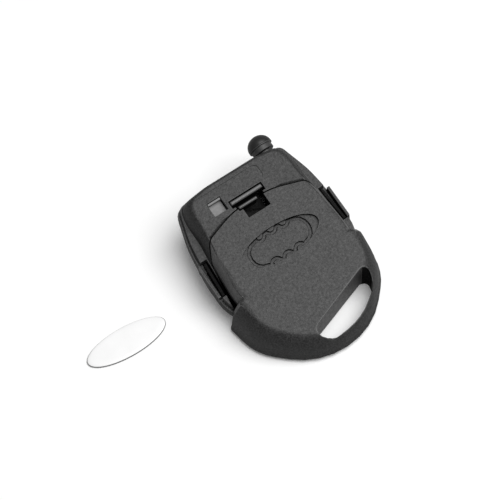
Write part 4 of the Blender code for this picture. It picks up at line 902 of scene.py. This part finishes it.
@dataclass
class Electronics(Group):
    """The circuit board with its tracks, chip, resonator and switches."""

    track_width: float = 0.3 * MM
    copper: float = 0.03 * MM
    pad_radius: float = 0.55 * MM
    pad_bore: float = 0.22 * MM
    leg_width: float = 0.34 * MM
    leg_sheet: float = 0.12 * MM
    chip_side: float = 0.55 * MM
    chip_pitch: float = 0.8 * MM
    chip_legs: int = 8
    hole: float = 1.0 * MM
    hole_depth: float = 0.85 * MM
    key_paths: tuple[Profile, ...] = (
        ((-7.5, 6.4), (-9.4, 6.4), (-11.2, 4.6), (-11.2, -4.4), (-8.6, -7.0), (-6.4, -7.0)),
        ((-7.5, 3.6), (-9.0, 3.6), (-10.4, 2.2), (-10.4, -3.8), (-8.2, -6.0), (-5.4, -6.0)),
        ((-2.7, 3.6), (-2.0, 2.9), (-2.0, -1.4), (-3.2, -2.6), (-3.2, -3.9)),
        ((2.7, 3.6), (2.0, 2.9), (2.0, -1.4), (3.2, -2.6), (3.2, -4.6)),
        ((7.5, 6.4), (9.4, 6.4), (11.2, 4.6), (11.2, -4.4), (8.6, -7.0), (5.4, -7.0)),
        ((7.5, 3.6), (9.0, 3.6), (10.4, 2.2), (10.4, -3.6), (8.0, -6.0), (6.4, -6.0)),
        ((-2.7, 6.4), (-1.2, 7.9), (-1.2, 11.4), (-4.8, 15.0), (-9.6, 15.0)),
        ((2.7, 6.4), (1.2, 7.9), (1.2, 11.4), (4.8, 15.0), (9.6, 15.0)),
        ((-10.9, 8.6), (-10.9, 13.0), (-8.8, 15.9), (8.8, 15.9), (10.9, 13.8), (10.9, 8.6)),
    )
    top_paths: tuple[Profile, ...] = (
        ((-9.4, -4.6), (-10.4, -3.6), (-10.9, -3.1), (-10.9, 12.0)),
        ((-1.0, -5.6), (1.6, -5.6), (2.4, -5.2)),
        ((8.8, -5.2), (10.9, -3.1), (10.9, 12.0)),
        ((-5.0, -7.9), (9.0, -7.9), (11.6, -5.3)),
    )

    def printed(self, paths: Iterable[Profile], height: float, stand: float) -> tuple[BMesh, BMesh]:
        """Returns tracks along paths in millimetres, on a face of the board, and their end pads.

        They stand off the face's height by stand, which is negative below the board.
        """
        lines, pads = bmesh.new(), bmesh.new()
        for path in paths:
            spots = scaled(path)
            lines = joined(lines, track(spots, height, self.track_width, stand))
            for x, y in (spots[0], spots[-1]):
                line = ((self.pad_bore, 0.0), (self.pad_bore, stand * 1.3), (self.pad_radius, stand * 1.3),
                        (self.pad_radius, 0.0), (self.pad_bore, 0.0))
                pads = joined(pads, spun(line, Matrix.Translation((x, y, height)), 20))
        return lines, pads

    def board(self) -> None:
        """Makes the board, its tracks and their pads."""
        low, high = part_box("circuit_board")
        self.keep("circuit_board_skin", rounded(welded("circuit_board"), 0.06 * MM), (Palette.BOARD,),
                  ("circuit_board",))
        under, under_pads = self.printed(self.key_paths, low[2], -self.copper)
        over, over_pads = self.printed(self.top_paths, high[2], self.copper)
        self.keep("board_track_lines", joined(under, over), (Palette.TRACK,))
        self.keep("board_track_pads", joined(under_pads, over_pads), (Palette.GOLD,))

    def chip(self) -> None:
        """Makes the controller: a resin body, its pin mark and two rows of bent legs."""
        low, high = (Vector(corner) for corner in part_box("controller_chip"))
        centre = (low + high) / 2
        inset = Vector((0.1 * MM, self.chip_side, 0.0))
        body = rounded(slab(low + inset, high - inset), 0.12 * MM)
        dot = Matrix.Translation((low.x + 0.8 * MM, low.y + self.chip_side + 0.6 * MM, high.z))
        line = scaled(((0.0, 0.01), (0.28, 0.01), (0.3, -0.05), (0.0, -0.05)))
        body = joined(body, spun(line, dot, 24))
        legs = bmesh.new()
        drop = centre.z - (low.z - 0.22 * MM)
        for side in (-1.0, 1.0):
            root = centre.y + side * ((high.y - low.y) / 2 - self.chip_side - 0.05 * MM)
            for index in range(self.chip_legs):
                x = centre.x + (index - (self.chip_legs - 1) / 2) * self.chip_pitch
                way = ((0.0, side * 0.2 * MM, 0.0), (0.0, side * 0.13 * MM, -drop),
                       (0.0, side * 0.27 * MM, 0.0))
                legs = joined(legs, strip((x, root, centre.z), way, self.leg_width, self.leg_sheet))
        self.keep("controller_chip_body", body, (Palette.RESIN,), ("controller_chip",))
        self.keep("controller_chip_legs", legs, (Palette.SOLDER,))

    def can(self) -> None:
        """Makes the resonator: a drawn can on a flange, with a solder foot at each end."""
        low, high = (Vector(corner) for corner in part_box("resonator_can"))
        step = Vector((0.3 * MM, 0.3 * MM, 0.0))
        can = rounded(slab(low + step, high - step), 1.1 * MM, segments=6, where=upright)
        rounded(can, 0.3 * MM, segments=4)
        rim = rounded(slab(low, (high.x, high.y, low.z + 0.3 * MM)), 1.3 * MM, segments=6, where=upright)
        rounded(rim, 0.08 * MM)
        feet = [slab((x - 0.5 * MM, low.y + 1.0 * MM, low.z - 0.28 * MM),
                     (x + 0.5 * MM, high.y - 1.0 * MM, low.z + 0.02 * MM))
                for x in (low.x + 0.8 * MM, high.x - 0.8 * MM)]
        self.keep("resonator_can_drawn", joined(can, rim), (Palette.BRIGHT,), ("resonator_can",))
        self.keep("resonator_feet", joined(*feet), (Palette.SOLDER,))

    def switch(self, word: str) -> None:
        """Makes a switch: a square cover with a round opening, and four bent legs."""
        node = f"switch_{word}"
        low, high = (Vector(corner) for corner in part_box(node))
        half, height = (high.x - low.x) / 2 - 0.25 * MM, high.z - low.z
        mesh = bmesh.new()
        bmesh.ops.create_circle(mesh, segments=32, radius=self.hole)
        inner = mesh.edges[:]
        outer = drawn(mesh, inner, (0.0, 0.0, 0.0))
        for corner in {corner for edge in outer for corner in edge.verts}:
            corner.co *= half / max(abs(corner.co.x), abs(corner.co.y))
        for loop, rise in ((outer, height), (inner, self.hole_depth)):
            bmesh.ops.edgeloop_fill(mesh, edges=drawn(mesh, loop, (0.0, 0.0, rise)))
        bmesh.ops.recalc_face_normals(mesh, faces=mesh.faces)
        rounded(mesh, 0.12 * MM, sharper=50.0, segments=3)
        mesh.transform(foot(low, high))
        legs = bmesh.new()
        for side in (-1.0, 1.0):
            for y in (low.y + 0.9 * MM, high.y - 0.9 * MM):
                start = ((low.x + high.x) / 2 + side * (half - 0.05 * MM), y, high.z - 0.25 * MM)
                way = ((side * 0.15 * MM, 0.0, 0.0), (side * 0.12 * MM, 0.0, 0.46 * MM),
                       (side * 0.25 * MM, 0.0, 0.0))
                legs = joined(legs, strip(start, way, 0.6 * MM, self.leg_sheet, math.radians(90.0)))
        self.keep(f"{node}_cover", mesh, (Palette.BRIGHT,), (node,))
        self.keep(f"{node}_legs", legs, (Palette.SOLDER,))

    def build(self) -> None:
        """Makes the board and all that it carries."""
        self.board()
        self.chip()
        self.can()
        for word in ("lock", "unlock", "boot"):
            self.switch(word)


@dataclass
class CellBay(Group):
    """The coin cell, its contacts and carrier, and the transponder; sizes in millimetres."""

    gasket_width: float = 0.55
    cap_radius: float = 8.6
    cap_step: float = 0.25
    dimple: Profile = ((0.0, 0.12), (0.4, 0.1), (0.8, -0.02), (0.0, -0.02))

    def cell(self) -> None:
        """Makes the cell: a can with a rolled edge, a dark gasket and a cap."""
        low, high = (Vector(corner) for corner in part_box("coin_cell"))
        radius, top = (high.x - low.x) / 2 / MM, (high.z - low.z) / MM
        lid, step = self.cap_radius, self.cap_step
        seal, level = lid + self.gasket_width, step + 0.45
        can = ((0.0, top), (radius * 0.9, top), (radius * 0.93, top - 0.04),
               (radius - 0.35, top - 0.04), (radius - 0.1, top - 0.14),
               (radius, top - 0.4), (radius, step + 0.3), (radius - 0.1, step + 0.08),
               (radius - 0.35, step), (seal, step), (seal, step + 0.5), (0.0, step + 0.5))
        ring = ((lid, level), (lid, step * 0.7), ((lid + seal) / 2, step * 0.5), (seal, step * 0.8),
                (seal, level), (lid, level))
        cap = ((lid - 0.02, step + 0.4), (lid - 0.02, 0.2),
               (lid - 0.08, 0.05), (lid - 0.25, 0.0), (0.0, 0.0))
        can, ring, cap = (spun(scaled(line), foot(low, high), 96) for line in (can, ring, cap))
        self.keep("coin_cell_can", joined(can, cap), (Palette.BRIGHT,), ("coin_cell",))
        self.keep("coin_cell_gasket", ring, (Palette.GASKET,))

    def contact(self, word: str) -> None:
        """Makes a contact: a folded spring strip with a pressed dimple near its end."""
        node = f"cell_contact_{word}"
        low, high = (Vector(corner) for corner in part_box(node))
        place = Matrix.Translation(((low.x + high.x) / 2, high.y - 1.6 * MM, high.z))
        mesh = rounded(welded(node), 0.09 * MM, segments=3)
        dimple = spun(scaled(self.dimple), place, 32)
        self.keep(f"{node}_strip", joined(mesh, dimple), (Palette.SPRING,), (node,))

    def build(self) -> None:
        """Makes every piece of the bay, and the transponder."""
        self.cell()
        self.contact("minus")
        self.contact("plus")
        self.keep("cell_carrier_skin", rounded(welded("cell_carrier"), 0.12 * MM), (Palette.CARRIER,),
                  ("cell_carrier",))
        self.keep("transponder_cast", rounded(welded("transponder"), 0.35 * MM, segments=4),
                  (Palette.GLASS_RESIN,), ("transponder",), Body.HEAD)


@dataclass
class PhotoCamera:
    """The camera at the photograph's viewing angle."""

    eye: Triple = (-102.289 * MM, -160.316 * MM, 363.825 * MM)
    right: Triple = (0.81933, -0.57151, -0.04541)
    back: Triple = (-0.2376, -0.41057, 0.88033)
    lens: float = 108.0
    sensor: float = 36.0
    clip: Pair = (0.01, 10.0)

    def build(self) -> None:
        """Sets the camera as the scene's own."""
        data = bpy.data.cameras.new("photo_camera")
        data.lens, data.sensor_width = self.lens, self.sensor
        data.clip_start, data.clip_end = self.clip
        camera = linked("photo_camera", data)
        back, right = Vector(self.back).normalized(), Vector(self.right)
        right = (right - back * right.dot(back)).normalized()
        turn = Matrix((right, back.cross(right), back)).transposed().to_4x4()
        camera.matrix_world = Matrix.Translation(self.eye) @ turn
        bpy.context.scene.camera = camera


@dataclass
class Studio:
    """A white floor, a pale world and a soft lamp."""

    floor_size: float = 1.6
    key_place: Triple = (0.252, -0.127, 0.749)
    key_target: Triple = (0.0, 0.0, 0.01)
    key_size: float = 0.75
    key_power: float = 7.1
    world_level: float = 0.25
    paper_grain: float = 50.0 * MM
    paper_levels: Pair = (0.96, 0.97)
    paper_glow: float = 0.06
    bounce_level: float = 0.5
    white: tuple[float, ...] = (1.0, 1.0, 1.0, 1.0)

    def lamp(self) -> None:
        """Hangs the square soft lamp that faces the shell."""
        data = bpy.data.lights.new("key_lamp", "AREA")
        data.shape, data.size, data.energy = "SQUARE", self.key_size, self.key_power
        lamp = linked("key_lamp", data)
        lamp.location = self.key_place
        aim = Vector(self.key_target) - Vector(self.key_place)
        lamp.rotation_euler = aim.to_track_quat("-Z", "Y").to_euler()

    def floor(self) -> None:
        """Lays the floor: white to the camera, dimmer as a light, and it keeps the shadow."""
        mesh = bmesh.new()
        bmesh.ops.create_grid(mesh, x_segments=1, y_segments=1, size=self.floor_size / 2)
        data = bpy.data.meshes.new("floor")
        mesh.to_mesh(data)
        mesh.free()
        graph = Graph("floor_paper")
        level = graph.spread(graph.noise(self.paper_grain), 0.3, 0.7, *self.paper_levels)
        colour = graph.add("ShaderNodeCombineColor", Red=level, Green=level, Blue=level)
        paper = graph.add("ShaderNodeBsdfDiffuse", Color=colour.outputs[0])
        glow = graph.add("ShaderNodeEmission", Color=self.white, Strength=self.paper_glow)
        lit = graph.join("ShaderNodeAddShader", paper.outputs[0], glow.outputs[0])
        dim = graph.add("ShaderNodeBsdfDiffuse", Color=(*(self.bounce_level,) * 3, 1.0))
        shader = graph.join("ShaderNodeMixShader", graph.seen(), dim.outputs[0], lit)
        data.materials.append(graph.surfaced(shader))
        floor = linked("floor", data)

    def world(self) -> None:
        """Makes the world white to the camera, and dimmer as a light."""
        graph = Graph("studio_world", world=True)
        level = graph.spread(graph.seen(), 0.0, 1.0, self.world_level, 1.0)
        background = graph.add("ShaderNodeBackground", Color=self.white, Strength=level)
        bpy.context.scene.world = graph.surfaced(background.outputs[0])

    def build(self) -> None:
        """Sets the stage."""
        self.floor()
        self.world()
        self.lamp()


def main() -> None:
    """Builds every piece, the stage and the camera."""
    logging.basicConfig(level=logging.INFO, format="%(message)s")
    PhotoCamera().build()
    Studio().build()
    for group in (Mouldings, Latch, BladeEnd, Badge, Keypad, Electronics, CellBay):
        group().build()
    bpy.context.scene.view_settings.view_transform = "Standard"


if __name__ == "__main__":
    main()
